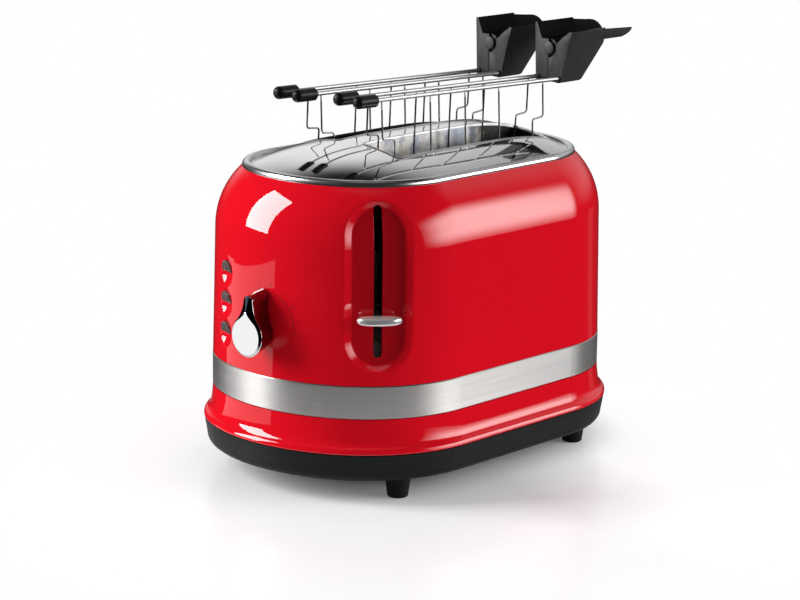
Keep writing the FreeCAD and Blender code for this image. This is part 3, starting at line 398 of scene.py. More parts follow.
# Sizes of the body, in millimetres and degrees. A turn is 0 along X and 90 along Y.
band_proud = 0.2
corner_radius = 85.3
end_radius = 109.8
lean_inset = 1.65
shoulder_radius = 54.0
shell_sheet = 1.5
recess_turn = 229.0
recess_half_width = 22.0
recess_floor_half_width = 17.4
recess_rim_radius = 19.2
recess_depth = 4.2
recess_cut = 0.002  # Share of the depth taken off the ramp, whose rounded tail would never quite end.
lever_slot_half_width = 3.1
button_turn = 159.5
scoop_radius = 8.6
scoop_depth = 2.6
scoop_softness = 0.35
knob_y = -3.0
knob_hole_radius = 4.0
print_lift = 0.05
plate_inset = 20.2
bead_radius = 2.6
bead_swell = 0.6
plate_fall = 17.0
crown_half_length = 121.5
crown_half_width = 72.3
plate_step = 1.6
slot_middle = 17.35
slot_y = 26.6
slot_half_y = 16.0
slot_corner = 3.0
slot_margin = 5.0
rail_slope = -0.023
# Sections of the clamps' pivot discs and rail sockets: radius, lift from the handles' front face.
disc_profile = ((4.25, -0.2), (4.25, 0.0), (4.1, 0.16), (3.7, 0.3), (2.6, 0.42), (1.2, 0.48), (0.05, 0.5))
mouth_profile = ((2.5, -0.2), (2.5, 0.12), (2.2, 0.35), (1.5, 0.35), (1.45, -0.2))

band_low, band_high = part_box("trim_band")
half_length = (band_high.x - band_low.x) / 2 / mm - band_proud
half_width = (band_high.y - band_low.y) / 2 / mm - band_proud
band_top = band_high.z / mm
lip_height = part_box("body_shell")[1].z / mm - 0.3
shoulder_start = lip_height - 38.8
recess_bottom = band_top + 8.4
recess_top = lip_height - 6.7
lever_slot_bottom = recess_bottom + 9.2
lever_slot_top = recess_top - 3.0
bead_height = lip_height + 1.7
plate_crown = bead_height + plate_fall
slot_half = half_length - 67.05
knob_turn = 180 + math.degrees(math.asin(-knob_y / end_radius))

# The outline in plan: end arcs, corner arcs and flat sides that meet without a kink.
end_x = half_length - end_radius
corner_y = half_width - corner_radius
corner_x = end_x + math.sqrt((end_radius - corner_radius) ** 2 - corner_y ** 2)
join_turn = math.degrees(math.atan2(corner_y, corner_x - end_x))
# Arcs (centre, radius, first turn, last turn) and straight sides (start, end, turn), anticlockwise.
outline = [
    ("arc", (end_x, 0), end_radius, -join_turn, join_turn),
    ("arc", (corner_x, corner_y), corner_radius, join_turn, 90),
    ("side", (corner_x, half_width), (-corner_x, half_width), 90, 90),
    ("arc", (-corner_x, corner_y), corner_radius, 90, 180 - join_turn),
    ("arc", (-end_x, 0), end_radius, 180 - join_turn, 180 + join_turn),
    ("arc", (-corner_x, -corner_y), corner_radius, 180 + join_turn, 270),
    ("side", (-corner_x, -half_width), (corner_x, -half_width), 270, 270),
    ("arc", (corner_x, -corner_y), corner_radius, 270, 360 - join_turn),
]
side_steps = 12


def middle_of(name):
    """Middle of a CAD piece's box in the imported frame, in millimetres."""
    return [(low + high) / 2 / mm for low, high in zip(*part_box(name))]


def front_of(name):
    """X of a CAD piece's face at the control end, from the middle of the body."""
    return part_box(name)[0].x / mm - row_shift / mm


def in_frame(point):
    """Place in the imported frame, in metres, of a point given from the middle of the body."""
    return ((point.x + row_shift / mm) * mm, point.y * mm, point.z * mm)


button_heights = [(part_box(name + "_button")[0].z / mm - 0.6) for name in ("upper", "middle", "lower")]
knob_height = middle_of("knob_shaft")[2]


def direction(turn):
    angle = math.radians(turn)
    return Vector((math.cos(angle), math.sin(angle), 0))


def on_outline(turn, out):
    """Point out from the outline where it faces the given way; only for turns on an arc."""
    for kind, centre, radius, first, last in outline:
        if kind == "arc" and (first - 1e-6 <= turn <= last + 1e-6):
            return Vector((*centre, 0)) + direction(turn) * (radius + out)
    raise ValueError("no arc faces " + str(turn))


def columns(breaks, step, fine_step):
    """Stations round the outline (point, outward direction, turn), denser between the break turns."""
    found = []
    for kind, first, second, begin, end in outline:
        if kind == "side":
            start, stop = Vector((*first, 0)), Vector((*second, 0))
            found += [(start.lerp(stop, k / side_steps), direction(begin), None) for k in range(side_steps)]
            continue
        stops = [begin] + sorted(b for pair in breaks for b in pair if begin < b < end) + [end]
        for low, high in zip(stops, stops[1:]):
            fine = any(a < (low + high) / 2 < b for a, b in breaks)
            count = max(1, round(math.radians(high - low) * second / (fine_step if fine else step)))
            for k in range(count):
                turn = low + (high - low) * k / count
                found.append((Vector((*first, 0)) + direction(turn) * second, direction(turn), turn))
    return found


def round_row(stations, out, height):
    """Row of points all round the body, a distance out from the outline."""
    return [(*(point + away * out).xy, height) for point, away, turn in stations]


def spaced(stops, step):
    """Values from the first stop to the last, through every stop, about a step apart."""
    values = []
    for low, high in zip(stops, stops[1:]):
        count = max(1, round((high - low) / step))
        values += [low + (high - low) * k / count for k in range(count)]
    return values + [stops[-1]]


def nearest(values, wanted):
    return min((abs(value - wanted), k) for k, value in enumerate(values))[1]


def wall_out(height, depth=0.0):
    """How far out from the outline the painted wall stands at a height, a depth under its face."""
    lean = math.atan2(lean_inset, shoulder_start - band_top)
    if height <= shoulder_start:
        return -lean_inset * (height - band_top) / (shoulder_start - band_top) - depth
    out = -lean_inset - shoulder_radius * math.cos(lean)
    middle = shoulder_start - shoulder_radius * math.sin(lean)
    return out + math.sqrt(max((shoulder_radius - depth) ** 2 - (height - middle) ** 2, 0))


def wall(turn, height, depth=0.0):
    point = on_outline(turn, wall_out(height, depth))
    return Vector((point.x, point.y, height))


def turn_at(middle_turn, sideways, height):
    """Turn at which the wall is a distance sideways of the point that faces middle_turn."""
    origin = wall(middle_turn, height)
    across = direction(middle_turn + 90)
    low = middle_turn - 30
    high = middle_turn + 30
    for _ in range(28):
        middle = (low + high) / 2
        if (wall(middle, height) - origin).dot(across) < sideways:
            low = middle
        else:
            high = middle
    return (low + high) / 2


def soft_ramp(t, round_part):
    """Climbs from 0 to 1 between t = 0 and 1 with rounded ends."""
    def corner(x):
        return 0.5 * (x + math.sqrt(x * x + round_part * round_part))
    return corner(t) - corner(t - 1)


def recess_point(sideways, height, under=0.0):
    """Point of the lever recess, which has a flat floor and a sloping rim."""
    low = recess_bottom + recess_half_width
    high = recess_top - recess_half_width
    reach = math.hypot(sideways, height - min(max(height, low), high))
    rim = recess_half_width - recess_floor_half_width
    depth = recess_depth * soft_ramp((recess_half_width - reach) / rim, 0.07) - recess_depth * recess_cut
    return wall(turn_at(recess_turn, sideways, height), height, max(depth, 0) + under)


def scoop_point(middle_height, sideways, rise, under=0.0):
    """Point of a finger scoop: the wall or the dished ball, whichever lies deeper, softly joined."""
    height = middle_height + rise
    out = direction(button_turn)
    place = wall(button_turn, middle_height)
    on_wall = wall(turn_at(button_turn, sideways, height), height)
    ball = (scoop_radius ** 2 + scoop_depth ** 2) / (2 * scoop_depth)
    reach = min(math.hypot(sideways, rise), ball)
    dish = (ball - scoop_depth) - math.sqrt(ball ** 2 - reach ** 2)
    face = (on_wall - place).dot(out)
    joined = 0.5 * (face + dish - math.sqrt((face - dish) ** 2 + scoop_softness ** 2))
    return on_wall + out * (min(joined, face) - face - under)


def knob_wall(sideways, rise, under=0.0):
    """Point of the wall beside and above the knob's axis, a depth under its face."""
    height = knob_height + rise
    return wall(turn_at(knob_turn, sideways, height), height, under)


def stadium(sideways, height, radius, low=0, high=0):
    """Point of an upright stadium, or of a circle, in the direction of a point outside it."""
    core = min(max(height, low), high)
    away = Vector((sideways, height - core))
    away = away.normalized() if away.length > 1e-9 else Vector((0, 1))
    return away.x * radius, core + away.y * radius


def half_moon(sideways, rise):
    """Edge of a button's opening in the direction of a point, seen from a middle inside it."""
    radius = scoop_radius - 0.7
    chord = 0.3
    start = 3.6
    away = Vector((sideways, rise)).normalized()
    reach = -start * away.y + math.sqrt((start * away.y) ** 2 + radius ** 2 - start ** 2)
    if away.y < 0:
        reach = min(reach, (start - chord) / -away.y)
    return away.x * reach, start + away.y * reach


def between(first, second, share):
    """Places a share of the way from one row of places to another."""
    return [(a + (c - a) * share, b + (d - b) * share) for (a, b), (c, d) in zip(first, second)]


def smooth_all(mesh):
    mesh.polygons.foreach_set("use_smooth", [True] * len(mesh.polygons))


class Skin:
    """Collects the vertices and faces of one piece."""

    def __init__(self):
        self.points = []
        self.faces = []

    def add(self, point):
        self.points.append(Vector(point))
        return len(self.points) - 1

    def ring(self, row):
        return [self.add(point) for point in row]

    def strip(self, first, second, closed=True):
        """Quads between two rows of vertices of equal length."""
        count = len(first) if closed else len(first) - 1
        for k in range(count):
            j = (k + 1) % len(first)
            self.faces.append((first[k], first[j], second[j], second[k]))

    def sweep(self, last, rows):
        """Joins rows of points to the last row of vertices, one after another; gives the new last row."""
        for row in rows:
            ring = self.ring(row)
            self.strip(last, ring)
            last = ring
        return last

    def piece(self, name, material, body="housing"):
        mesh = bpy.data.meshes.new(name)
        mesh.from_pydata([in_frame(point) for point in self.points], [], self.faces)
        smooth_all(mesh)
        mesh.materials.append(finishes[material])
        mesh.validate()
        made = add_object(name, mesh)
        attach(made, body)
        return made


def window_border(columns_in, rows_in):
    """Keys of the vertices round a rectangle of a grid, anticlockwise from its lower left corner."""
    c0, c1 = columns_in
    r0, r1 = rows_in
    border = [(c, r0) for c in range(c0, c1)] + [(c1, r) for r in range(r0, r1)]
    border += [(c, r1) for c in range(c1, c0, -1)] + [(c0, r) for r in range(r1, r0, -1)]
    return border


def in_window(c, r, windows):
    return any(a <= c < b and low <= r < high for (a, b), (low, high) in windows)


def body_piece():
    """Painted shell with its recess, lever slot, finger scoops and rolled lip."""
    # Windows in the wall that finer rows of points fill: turns either side, lowest and highest point.
    recess_window = (recess_turn, 18, recess_bottom - 5, recess_top + 3.6)
    knob_window = (knob_turn, 3.2, knob_height - 6, knob_height + 6)
    button_windows = [(button_turn, 5.6, middle - 10.15, middle + 10.15) for middle in button_heights]
    windows = [recess_window, knob_window] + button_windows
    breaks = [(middle - half, middle + half) for middle, half, low, high in windows[:3]]
    stations = columns(breaks, 2.2, 0.9)
    levels = sorted({round(level, 3) for window in windows for level in window[2:]})
    levels = [a for a, b in zip(levels, levels[1:] + [1e9]) if b - a > 0.05]
    rows = [band_top + 0.3, band_top + 1.8] + spaced(levels, 1.05)
    rows += [levels[-1] + (lip_height - levels[-1]) * k / 3 for k in (1, 2, 3)]

    skin = Skin()
    grid = {}
    for c, (point, out, turn) in enumerate(stations):
        for r, height in enumerate(rows):
            place = point + out * wall_out(height)
            grid[c, r] = skin.add((place.x, place.y, height))

    def nearest_column(turn):
        return min((abs(s[2] - turn), c) for c, s in enumerate(stations) if s[2] is not None)[1]

    holes = []

    def cut(window, base=0.0):
        """Opens a window: its border's vertices, and their places sideways and up from a base height."""
        middle, half, low, high = window
        span = (nearest_column(middle - half), nearest_column(middle + half))
        holes.append((span, (nearest(rows, low), nearest(rows, high))))
        border = window_border(*holes[-1])
        flat = []
        for c, r in border:
            turn, height = stations[c][2], rows[r]
            sideways = (wall(turn, height) - wall(middle, height)).dot(direction(middle + 90))
            flat.append((sideways, height - base))
        return [grid[key] for key in border], flat

    last, flat = cut(recess_window)
    ends = (recess_bottom + recess_half_width, recess_top - recess_half_width)
    slot_ends = (lever_slot_bottom + lever_slot_half_width, lever_slot_top - lever_slot_half_width)
    rim_radii = (24.6, 23.6, 23.0, 22.6, 22.3, 22.0, 21.7, 21.3, 20.8, 20.2, 19.6, recess_rim_radius)
    floor_shares = (0.04, 0.07, 0.09, 0.11, 0.13, 0.16, 0.22, 0.32, 0.45, 0.6, 0.75, 0.88, 0.95, 0.985, 1.0)
    slot_lips = ((0.06, 0.03), (0.16, 0.14), (0.2, 0.3), (0.2, shell_sheet))
    rims = [[stadium(a, z, radius, *ends) for a, z in flat] for radius in rim_radii]
    mouth = [stadium(a, z, lever_slot_half_width, *slot_ends) for a, z in flat]
    floors = [between(rims[-1], mouth, share) for share in floor_shares]
    last = skin.sweep(last, [[recess_point(a, z) for a, z in row] for row in rims + floors])
    for inward, under in slot_lips:
        lip = [stadium(a, z, lever_slot_half_width - inward, *slot_ends) for a, z in flat]
        last = skin.sweep(last, [[recess_point(a, z, under) for a, z in lip]])

    for middle, window in zip(button_heights, button_windows):
        last, flat = cut(window, middle)
        rims = [[stadium(a, z, radius) for a, z in flat]
                for radius in (9.7, 9.3, 9.0, 8.8, 8.6, 8.45, 8.3, 8.15, 8.0)]
        mouth = [half_moon(a, z) for a, z in flat]
        dishes = [between(rims[-1], mouth, share) for share in (0.15, 0.35, 0.55, 0.75, 0.9, 1.0)]
        last = skin.sweep(last, [[scoop_point(middle, a, z) for a, z in row] for row in rims + dishes])
        skin.sweep(last, [[scoop_point(middle, a, z, shell_sheet) for a, z in mouth]])

    last, flat = cut(knob_window, knob_height)
    for wider, under in ((1.2, 0), (0, 0), (0, shell_sheet)):
        circle = [stadium(a, z, knob_hole_radius + wider) for a, z in flat]
        last = skin.sweep(last, [[knob_wall(a, z, under) for a, z in circle]])

    for c in range(len(stations)):
        d = (c + 1) % len(stations)
        for r in range(len(rows) - 1):
            if not in_window(c, r, holes):
                skin.faces.append((grid[c, r], grid[d, r], grid[d, r + 1], grid[c, r + 1]))

    outer, inner = wall_out(lip_height), wall_out(lip_height, shell_sheet)
    middle, nose = (outer + inner) / 2, (outer - inner) / 2
    arcs = [math.radians(angle) for angle in range(18, 181, 18)]
    profile = [(middle + nose * math.cos(arc), lip_height + 0.3 * math.sin(arc)) for arc in arcs]
    profile += [(wall_out(lip_height - drop, shell_sheet), lip_height - drop) for drop in (1.5, 4.0)]
    last = [grid[c, len(rows) - 1] for c in range(len(stations))]
    skin.sweep(last, [round_row(stations, out, height) for out, height in profile])
    return skin.piece("body_skin", "shell_paint")


def shell_paint():
    """Paint of the shell, with painted shade on the floor of the lever recess, stronger towards one side."""
    paint = red_paint("shell_paint")
    across = direction(recess_turn + 90)
    middle = Vector(in_frame(on_outline(recess_turn, 0)))
    sideways = paint.maths("SUBTRACT", paint.along(across), middle.dot(across))
    height = paint.along((0, 0, 1))
    core = paint.maths("MAXIMUM", height, (recess_bottom + recess_half_width) * mm)
    core = paint.maths("MINIMUM", core, (recess_top - recess_half_width) * mm)
    reach = paint.hypot(paint.maths("SUBTRACT", height, core), sideways)
    # Painted shade: the floor of the lever recess, inside its rim and on the shell's outer side, is darkened
    # towards near black red, more on one side.
    inside = paint.spread(reach, 1.0, 0.0, (recess_floor_half_width - 1.5) * mm,
                          (recess_floor_half_width + 1.5) * mm)
    front = paint.spread(paint.along(direction(recess_turn)), 0.0, 1.0, 0.0, 0.02)
    shade_strength = paint.spread(sideways, 0.18, 0.62, -0.017, 0.017)
    share = paint.maths("MULTIPLY", paint.maths("MULTIPLY", inside, front), shade_strength)
    paint.cover(share, (0.02, 0.002, 0.003))
    return paint.material


finishes["shell_paint"] = shell_paint()
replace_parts(body_piece(), "body_shell")


def dome(x, y):
    """Height of the top plate's crown."""
    return plate_crown - plate_fall * ((y / crown_half_width) ** 2 + (abs(x) / crown_half_length) ** 4)


def rounded_rectangle(x, y, half_x, half_y, corner):
    """Point of a rounded rectangle about the origin in the direction of a border point."""
    cx = min(max(x, corner - half_x), half_x - corner)
    cy = min(max(y, corner - half_y), half_y - corner)
    away = Vector((x - cx, y - cy))
    away = away.normalized() if away.length > 1e-9 else Vector((1, 0))
    return cx + away.x * corner, cy + away.y * corner


def inside_outline(x, y, grow):
    """True where a point lies inside the outline moved outward by grow."""
    x, y = abs(x), abs(y)
    if x < corner_x:
        return y < half_width + grow
    if math.atan2(y - corner_y, x - corner_x) > math.radians(join_turn):
        return math.hypot(x - corner_x, y - corner_y) < corner_radius + grow
    return math.hypot(x - end_x, y) < end_radius + grow


def plate_piece():
    """Crowned plate with a collar folded down into each bread slot."""
    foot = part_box("top_plate")[0].z / mm
    inset = -plate_inset - bead_radius
    reach_x = half_length + inset + 1.0
    reach_y = half_width + inset + 1.0
    window_x = (slot_middle - slot_half - slot_margin, slot_middle + slot_half + slot_margin)
    windows_y = [(y - slot_half_y - slot_margin, y + slot_half_y + slot_margin) for y in (-slot_y, slot_y)]
    xs = spaced([-reach_x, *window_x, reach_x], plate_step)
    ys = spaced([-reach_y, *windows_y[0], *windows_y[1], reach_y], plate_step)
    skin = Skin()
    grid = {(i, j): skin.add((x, y, dome(x, y))) for i, x in enumerate(xs) for j, y in enumerate(ys)}
    holes = []
    # The collar's section: how far out from the slot's edge, and how far above the crown.
    collar = ((2.6, 0.0), (2.0, 0.01), (1.7, 0.05), (1.5, 0.14), (1.35, 0.3), (1.2, 0.45), (0.95, 0.58),
              (0.65, 0.64), (0.35, 0.6), (0.12, 0.45), (0.0, 0.2), (0.0, -1.5))
    for name, middle, window_y, finish in (("near", -slot_y, windows_y[0], "lining"),
                                           ("far", slot_y, windows_y[1], "far_lining")):
        holes.append(([nearest(xs, x) for x in window_x], [nearest(ys, y) for y in window_y]))
        border = window_border(*holes[-1])

        def slot_row(grow, lift):
            row = []
            for i, j in border:
                a, b = rounded_rectangle(xs[i] - slot_middle, ys[j] - middle, slot_half + grow,
                                         slot_half_y + grow, slot_corner + grow)
                x, y = slot_middle + a, middle + b
                row.append((x, y, dome(x, y) + lift))
            return row

        skin.sweep([grid[key] for key in border], [slot_row(grow, lift) for grow, lift in collar])
        inside = Skin()
        rows = [[(x, y, max(z, foot)) for x, y, z in slot_row(0.0, -drop)] for drop in (1.5, 2.2, 6, 10)]
        rows.append([(x, y, foot) for x, y, z in rows[-1]])
        inside.sweep(inside.ring(rows[0]), rows[1:])
        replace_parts(inside.piece(name + "_slot_lining", finish), "top_plate")
    for i in range(len(xs) - 1):
        for j in range(len(ys) - 1):
            x = (xs[i] + xs[i + 1]) / 2
            y = (ys[j] + ys[j + 1]) / 2
            if not in_window(i, j, holes) and inside_outline(x, y, inset + 0.6):
                skin.faces.append((grid[i, j], grid[i + 1, j], grid[i + 1, j + 1], grid[i, j + 1]))
    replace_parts(bead_piece(inset), "top_plate")
    return skin.piece("plate_skin", "top_chrome")


def bead_piece(inset):
    """Rolled edge of the plate."""
    skin = Skin()
    stations = columns([], plate_step, plate_step)
    radius = bead_radius + bead_swell
    height = bead_height - bead_swell
    steps = 28
    angles = [math.radians(360 * k / steps) for k in range(steps)]
    rows = [round_row(stations, inset + bead_swell / 2 + radius * math.cos(angle),
                      height + radius * math.sin(angle)) for angle in angles]
    first = skin.ring(rows[0])
    skin.strip(skin.sweep(first, rows[1:]), first)
    return skin.piece("plate_bead", "plate_bead")


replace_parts(plate_piece(), "top_plate")


def teardrop(round_radius, tip_radius, tip, neck_radius):
    """Points round a teardrop with its point up: round foot, hollow flanks and a small tip."""
    steps = 16
    near = round_radius + neck_radius
    far = tip_radius + neck_radius
    middle = tip - tip_radius
    rise = (near ** 2 - far ** 2 + middle ** 2) / (2 * middle)
    out = math.sqrt(near ** 2 - rise ** 2)
    foot = math.atan2(rise, out)
    head = math.atan2(rise - middle, out)
    half = []
    for k in range(steps * 2 + 1):
        angle = -math.pi / 2 + (foot + math.pi / 2) * k / (steps * 2)
        half.append((round_radius * math.cos(angle), round_radius * math.sin(angle)))
    for k in range(1, steps + 1):
        angle = math.pi + foot + (head - foot) * k / steps
        half.append((out + neck_radius * math.cos(angle), rise + neck_radius * math.sin(angle)))
    for k in range(1, steps // 2 + 1):
        angle = head + (math.pi / 2 - head) * k / (steps // 2)
        half.append((tip_radius * math.cos(angle), middle + tip_radius * math.sin(angle)))
    return half + [(-a, b) for a, b in reversed(half[1:-1])]


def knob_piece():
    """Control knob: drawn in behind, with a raked bevel round an egg-shaped face and rounded edges."""
    front = front_of("browning_knob")
    hub_depth = -half_length - 0.3 - front
    rake_height = 26

    def row(shape, depth, rake=0.0):
        """A teardrop a depth behind the face; the rake takes its point further back."""
        return [(front + depth + rake * max(b, 0) / rake_height, knob_y - 0.9 + a, knob_height - 4.0 + b)
                for a, b in teardrop(*shape)]

    hub = row((8.6, 4.3, 29.0, 30.0), hub_depth)
    waist = row((12.0, 4.1, 27.4, 26.0), 6.5, 1.0)
    under = row((13.45, 3.9, 26.35, 22.0), 1.75, 1.3)
    shoulder = row((13.55, 3.9, 26.4, 22.0), 1.45, 1.3)
    bevel = row((13.25, 3.7, 26.1, 22.0), 1.15, 1.3)
    lip = row((12.15, 1.3, 15.9, 26.0), 0.15)
    face = row((11.9, 1.1, 15.5, 26.0), 0.0)
    core = row((6.0, 0.4, 8.0, 15.0), 0.0)
    for name, finish, rows in (("knob_side", "knob_chrome", (hub, waist, under)),
                               ("knob_edge", "knob_edge", (under, shoulder, bevel)),
                               ("knob_bevel", "knob_chrome", (bevel, lip)),
                               ("knob_lip", "knob_edge", (lip, face)),
                               ("knob_face", "knob_chrome", (face, core))):
        skin = Skin()
        last = skin.sweep(skin.ring(rows[0]), rows[1:])
        if name == "knob_face":
            skin.faces.append(tuple(last))
        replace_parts(skin.piece(name, finish, "knob"), "browning_knob")


knob_piece()


def lever_piece():
    """Finger bar: bowed in plan, pillow-shaped in section, with rounded ends."""
    middle = middle_of("lever_cap")[2]
    out = direction(recess_turn)
    across = direction(recess_turn + 90)
    origin = on_outline(recess_turn, 0)
    half, half_height, steps, section_steps = 14.3, 2.75, 44, 40
    rows = []
    for i in range(steps + 1):
        share = math.sin(math.pi * (i / steps - 0.5))
        end = max(1 - abs(share) ** 5, 0.0) ** 0.5
        front = 12.0 - 3.2 * share ** 2 - 1.2 * (1 - end)
        back = 0.6 + 1.2 * (1 - end)
        row = []
        for k in range(section_steps):
            c, z = math.cos(math.tau * k / section_steps), math.sin(math.tau * k / section_steps)
            reach = math.copysign(abs(c) ** 0.55, c)
            rise = math.copysign(abs(z) ** 0.62, z)
            depth = (front + back) / 2 + (front - back) / 2 * reach * (0.25 + 0.75 * end)
            place = origin + out * depth + across * (half * share)
            row.append((place.x, place.y, middle + half_height * rise * (0.15 + 0.85 * end)))
        rows.append(row)
    skin = Skin()
    first = skin.ring(rows[0])
    skin.faces.append(tuple(reversed(first)))
    skin.faces.append(tuple(skin.sweep(first, rows[1:])))
    return skin.piece("lever_skin", "lever_satin", "carriage")


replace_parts(lever_piece(), "lever_cap")


def softened(name, body, piece_name):
    """Copy of a CAD piece with its sharp edges rounded."""
    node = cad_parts[name]
    mesh = node.data.copy()
    shape = bmesh.new()
    shape.from_mesh(mesh)
    bmesh.ops.remove_doubles(shape, verts=shape.verts, dist=1e-6)
    bmesh.ops.dissolve_limit(shape, angle_limit=math.radians(1.0), verts=shape.verts, edges=shape.edges)
    shape.to_mesh(mesh)
    shape.free()
    smooth_all(mesh)
    made = add_object(piece_name, mesh)
    made.matrix_world = node.matrix_world.copy()
    bevel = made.modifiers.new("edges", "BEVEL")
    bevel.width = 0.55 * mm
    bevel.segments = 3
    bevel.limit_method = "ANGLE"
    bevel.angle_limit = math.radians(30)
    bevel.harden_normals = True
    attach(made, body)
    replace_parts(made, name)
    return made


def clamp_details(clamp):
    """Rounded handle halves, the pivot's disc and the dark mouths of the rail sockets."""
    front = front_of(clamp + "_far_handle")

    def turned(middle_y, middle_z, profile, steps):
        """Round skin about X with the section of a profile, and its last row of vertices."""
        skin = Skin()
        turns = [math.tau * k / steps for k in range(steps)]
        rows = [[(front - lift, middle_y + radius * math.cos(angle), middle_z + radius * math.sin(angle))
                 for angle in turns] for radius, lift in profile]
        return skin, skin.sweep(skin.ring(rows[0]), rows[1:])

    for side in ("near", "far"):
        half = softened(clamp + "_" + side + "_handle", clamp + "_" + side + "_jaw",
                        clamp + "_" + side + "_grip")
        if side == "far":
            half.data.materials[0] = finishes["far_grip"]
    disc, last = turned(*middle_of(clamp + "_pin")[1:], disc_profile, 48)
    disc.faces.append(tuple(last))
    disc.piece(clamp + "_disc", "pivot_plastic", clamp + "_far_jaw")
    for side in ("near", "far"):
        x, y, z = middle_of(clamp + "_" + side + "_cap")
        rail_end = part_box(clamp + "_" + side + "_handle")[0].x / mm
        mouth = turned(y, z + rail_slope * (rail_end - x), mouth_profile, 32)[0]
        mouth.piece(clamp + "_" + side + "_mouth", "cap_rubber", clamp + "_" + side + "_jaw")


for clamp_name in ("near_clamp", "far_clamp"):
    clamp_details(clamp_name)


def from_knob(turn, radius):
    """Sideways and up from the knob's axis; turn 0 is up, 90 is toward the lever."""
    return radius * math.sin(math.radians(turn)), radius * math.cos(math.radians(turn))


def dial_marks():
    """Printed arc and generic numbers round the knob, a hair thicker than the paint."""
    skin = Skin()
    turns = [-12 + 2 * k for k in range(57)]
    rows = [skin.ring([knob_wall(*from_knob(turn, radius), -print_lift) for turn in turns])
            for radius in (24.3, 24.6)]
    skin.strip(rows[0], rows[1], closed=False)
    for number, turn in enumerate((-10, 12, 34, 56, 78, 100), 1):
        add_digit(skin, str(number), turn, 28.0, 2.6)
    skin.piece("dial_marks", "dial_print")


def add_digit(skin, text, turn, radius, size):
    """One upright number, its strokes laid on the wall."""
    strokes = bpy.data.curves.new("digit", "FONT")
    strokes.body = text
    strokes.size = 1.0
    strokes.align_x = "CENTER"
    strokes.align_y = "CENTER"
    holder = bpy.data.objects.new("digit", strokes)
    flat = holder.to_mesh()
    sideways, rise = from_knob(turn, radius)
    first = len(skin.points)
    for vertex in flat.vertices:
        skin.add(knob_wall(sideways + vertex.co.x * size, rise + vertex.co.y * size, -print_lift))
    for face in flat.polygons:
        skin.faces.append(tuple(first + index for index in face.vertices))
    holder.to_mesh_clear()
    bpy.data.objects.remove(holder)
    bpy.data.curves.remove(strokes)


dial_marks()


# Studio.
def stage_sheet(name, points, faces, material):
    """Adds a sheet of the studio, which isn't part of the object."""
    mesh = bpy.data.meshes.new(name)
    mesh.from_pydata(points, [], faces)
    mesh.materials.append(material)
    sheet = add_object(name, mesh)


def studio_floor():
    """White table top that fades into the white backdrop all round, with painted light for the camera: a glow
    that lifts it, least beside the object and most towards one end, lightening the object's shadow.
    """
    white = patterned("table_white", (0.90, 0.915, 0.935), 0.3, Specular_IOR_Level=0.5,
                      Emission_Color=(0.97, 0.985, 1.0, 1), wear=((30, 3.0), 0.02))
    x, y = white.along((1, 0, 0)), white.along((0, 1, 0))
    fade = white.spread(white.hypot(white.maths("ADD", x, 0.06), white.maths("ADD", y, 0.055)),
                        0.0, 1.0, 0.17, 0.31)
    # Painted light: the glow seen by camera rays, least beside the object and most towards +X, lightening the
    # object's shadow there.
    beyond = white.maths("MAXIMUM", white.maths("SUBTRACT", white.maths("ABSOLUTE", x), 0.055), 0)
    near = white.hypot(beyond, y)
    side = white.maths("MULTIPLY", white.spread(white.along((0.96, -0.28, 0)), 0.0, 0.33, 0.0, 0.09),
                       white.spread(near, 0.0, 1.0, 0.07, 0.11))
    lift = white.maths("ADD", white.spread(near, 0.02, 0.17, 0.055, 0.095), side)
    camera_ray = white.node("ShaderNodeLightPath").outputs["Is Camera Ray"]
    white.set("Emission Strength", white.maths("MULTIPLY", camera_ray, lift))
    white.surface(fade, white.shader, white.node("ShaderNodeBsdfTransparent"))
    half = 0.6
    corners = [(-half, -half, 0), (half, -half, 0), (half, half, 0), (-half, half, 0)]
    stage_sheet("floor", corners, [(0, 1, 2, 3)], white.material)


def low_card(name, base, first_turn, sweep, start, length, strength):
    """Pale sheet lying beside the object; only the gloss of the object shows it."""
    rows, steps = 12, 30
    points = []
    for i in range(rows + 1):
        for k in range(steps + 1):
            share = k / steps
            turn = math.radians(first_turn + sweep * share)
            reach = start + length(share) * i / rows
            points.append(base + Vector((math.cos(turn), math.sin(turn), 0.0005 / reach)) * reach)
    corners = [i * (steps + 1) + k for i in range(rows) for k in range(steps)]
    faces = [(a, a + 1, a + steps + 2, a + steps + 1) for a in corners]
    sheet = Finish(name + "_white", grey(0.9), 0.5)
    gloss_ray = sheet.node("ShaderNodeLightPath").outputs["Is Glossy Ray"]
    sheet.surface(gloss_ray, sheet.node("ShaderNodeBsdfTransparent"),
                  sheet.node("ShaderNodeEmission", Strength=strength))
    stage_sheet(name, points, faces, sheet.material)


studio_floor()
low_card("dial_card", Vector((band_low.x, 0, 0)), 95, 54, 0.27,
         lambda share: 0.495 - 0.06 * share + 0.12 * share ** 2 + 0.03 * (1 - share) ** 6, 0.9)
low_card("rear_card", Vector((0.11, -0.07, 0)), -13, 13, 0.13, lambda share: 1.4, 0.12)
studio_middle = Vector((0, 0, 0.12))
lamp_distance = 2.2


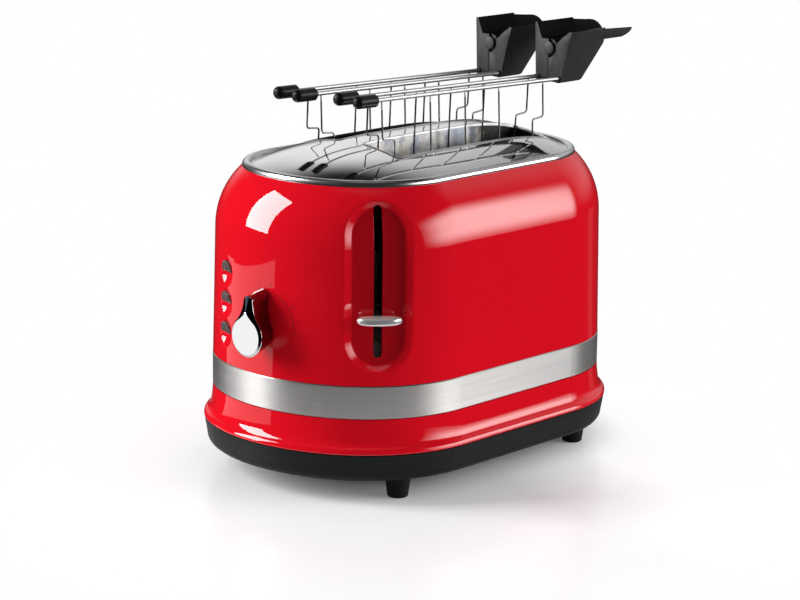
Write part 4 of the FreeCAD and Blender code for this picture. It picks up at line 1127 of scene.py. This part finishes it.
def softbox(name, azimuth, elevation, wide, tall, radiance, fall=()):
    """Soft rectangular lamp seen from the object in a direction, its size given as angles in degrees.

    Each entry of fall is an axis and the shares of that side at which the lamp is dark and at full strength.
    """
    a, e = math.radians(azimuth), math.radians(elevation)
    away = Vector((math.cos(a) * math.cos(e), math.sin(a) * math.cos(e), math.sin(e)))
    light = bpy.data.lights.new(name, "AREA")
    light.shape = "RECTANGLE"
    light.size = 2 * lamp_distance * math.tan(math.radians(wide / 2))
    light.size_y = 2 * lamp_distance * math.tan(math.radians(tall / 2))
    light.energy = radiance * math.pi * light.size * light.size_y
    if fall:
        light.use_nodes = True
        lamp = Tree(light.node_tree)
        place = lamp.node("ShaderNodeNewGeometry").outputs["Parametric"]
        split = lamp.node("ShaderNodeSeparateXYZ", Vector=place)
        glow = 1.0
        for axis, low, high in fall:
            edge = lamp.spread(split.outputs[axis], 0.0, 1.0, low, high, "SMOOTHSTEP")
            glow = lamp.maths("MULTIPLY", edge, glow)
        lamp.feed(lamp.tree.nodes["Emission"].inputs["Strength"], glow)
    holder = add_object(name, light)
    side = Vector((0, 0, 1)).cross(away).normalized()
    turn = Matrix((side, away.cross(side), away)).transposed()
    holder.matrix_world = Matrix.Translation(studio_middle + away * lamp_distance) @ turn.to_4x4()
    holder.visible_camera = False


softbox("left_softbox", 133, 22.4, 23, 38.8, 14)
softbox("right_softbox", -59, 13.5, 54, 39, 6.7,
        [("X", -0.1, 0.5), ("X", 1.02, 0.8), ("Y", 1.0, 0.66), ("Y", -0.1, 0.35)])


def backdrop():
    """White behind the object; round the camera a dark room, so that gloss shows only the lamps."""
    world = bpy.data.worlds.new("room")
    bpy.context.scene.world = world
    world.use_nodes = True
    room = Tree(world.node_tree)
    room.tree.nodes.clear()
    away = room.node("ShaderNodeTexCoord").outputs["Generated"]
    split = room.node("ShaderNodeSeparateXYZ", Vector=away).outputs
    azimuth = room.maths("ARCTAN2", split["Y"], split["X"])
    elevation = room.maths("ARCSINE", split["Z"])

    def panel(strength, *edges):
        """A pale panel of the room; each soft edge runs from dark to full between two angles in degrees."""
        share = strength
        for value, start, stop in edges:
            edge = room.spread(value, 0.0, 1.0, math.radians(start), math.radians(stop), "SMOOTHSTEP")
            share = room.maths("MULTIPLY", edge, share)
        return share

    def background(strength):
        return room.node("ShaderNodeBackground", Color=(1, 1, 1, 1), Strength=strength).outputs[0]

    tall = ((elevation, 56, 34), (elevation, -4, 12))
    glow = 0.02
    for lit in (panel(0.36, (azimuth, -40, -10), (azimuth, 86, 48), *tall),
                panel(0.50, (azimuth, 14, 50), (azimuth, 86, 48), *tall),
                panel(0.22, (azimuth, -40, -10), (azimuth, 20, 4), *tall),
                panel(0.22, (elevation, 66, 82))):
        glow = room.maths("ADD", lit, glow)
    path = room.node("ShaderNodeLightPath").outputs
    shine = room.maths("MAXIMUM", path["Is Glossy Ray"], path["Is Transmission Ray"])
    inner = room.mix_shaders(shine, background(0.33), background(glow))
    outer = room.mix_shaders(path["Is Camera Ray"], inner, background(1.0))
    room.node("ShaderNodeOutputWorld", Surface=outer)


backdrop()
bpy.context.scene.view_settings.view_transform = "Standard"

note_size()
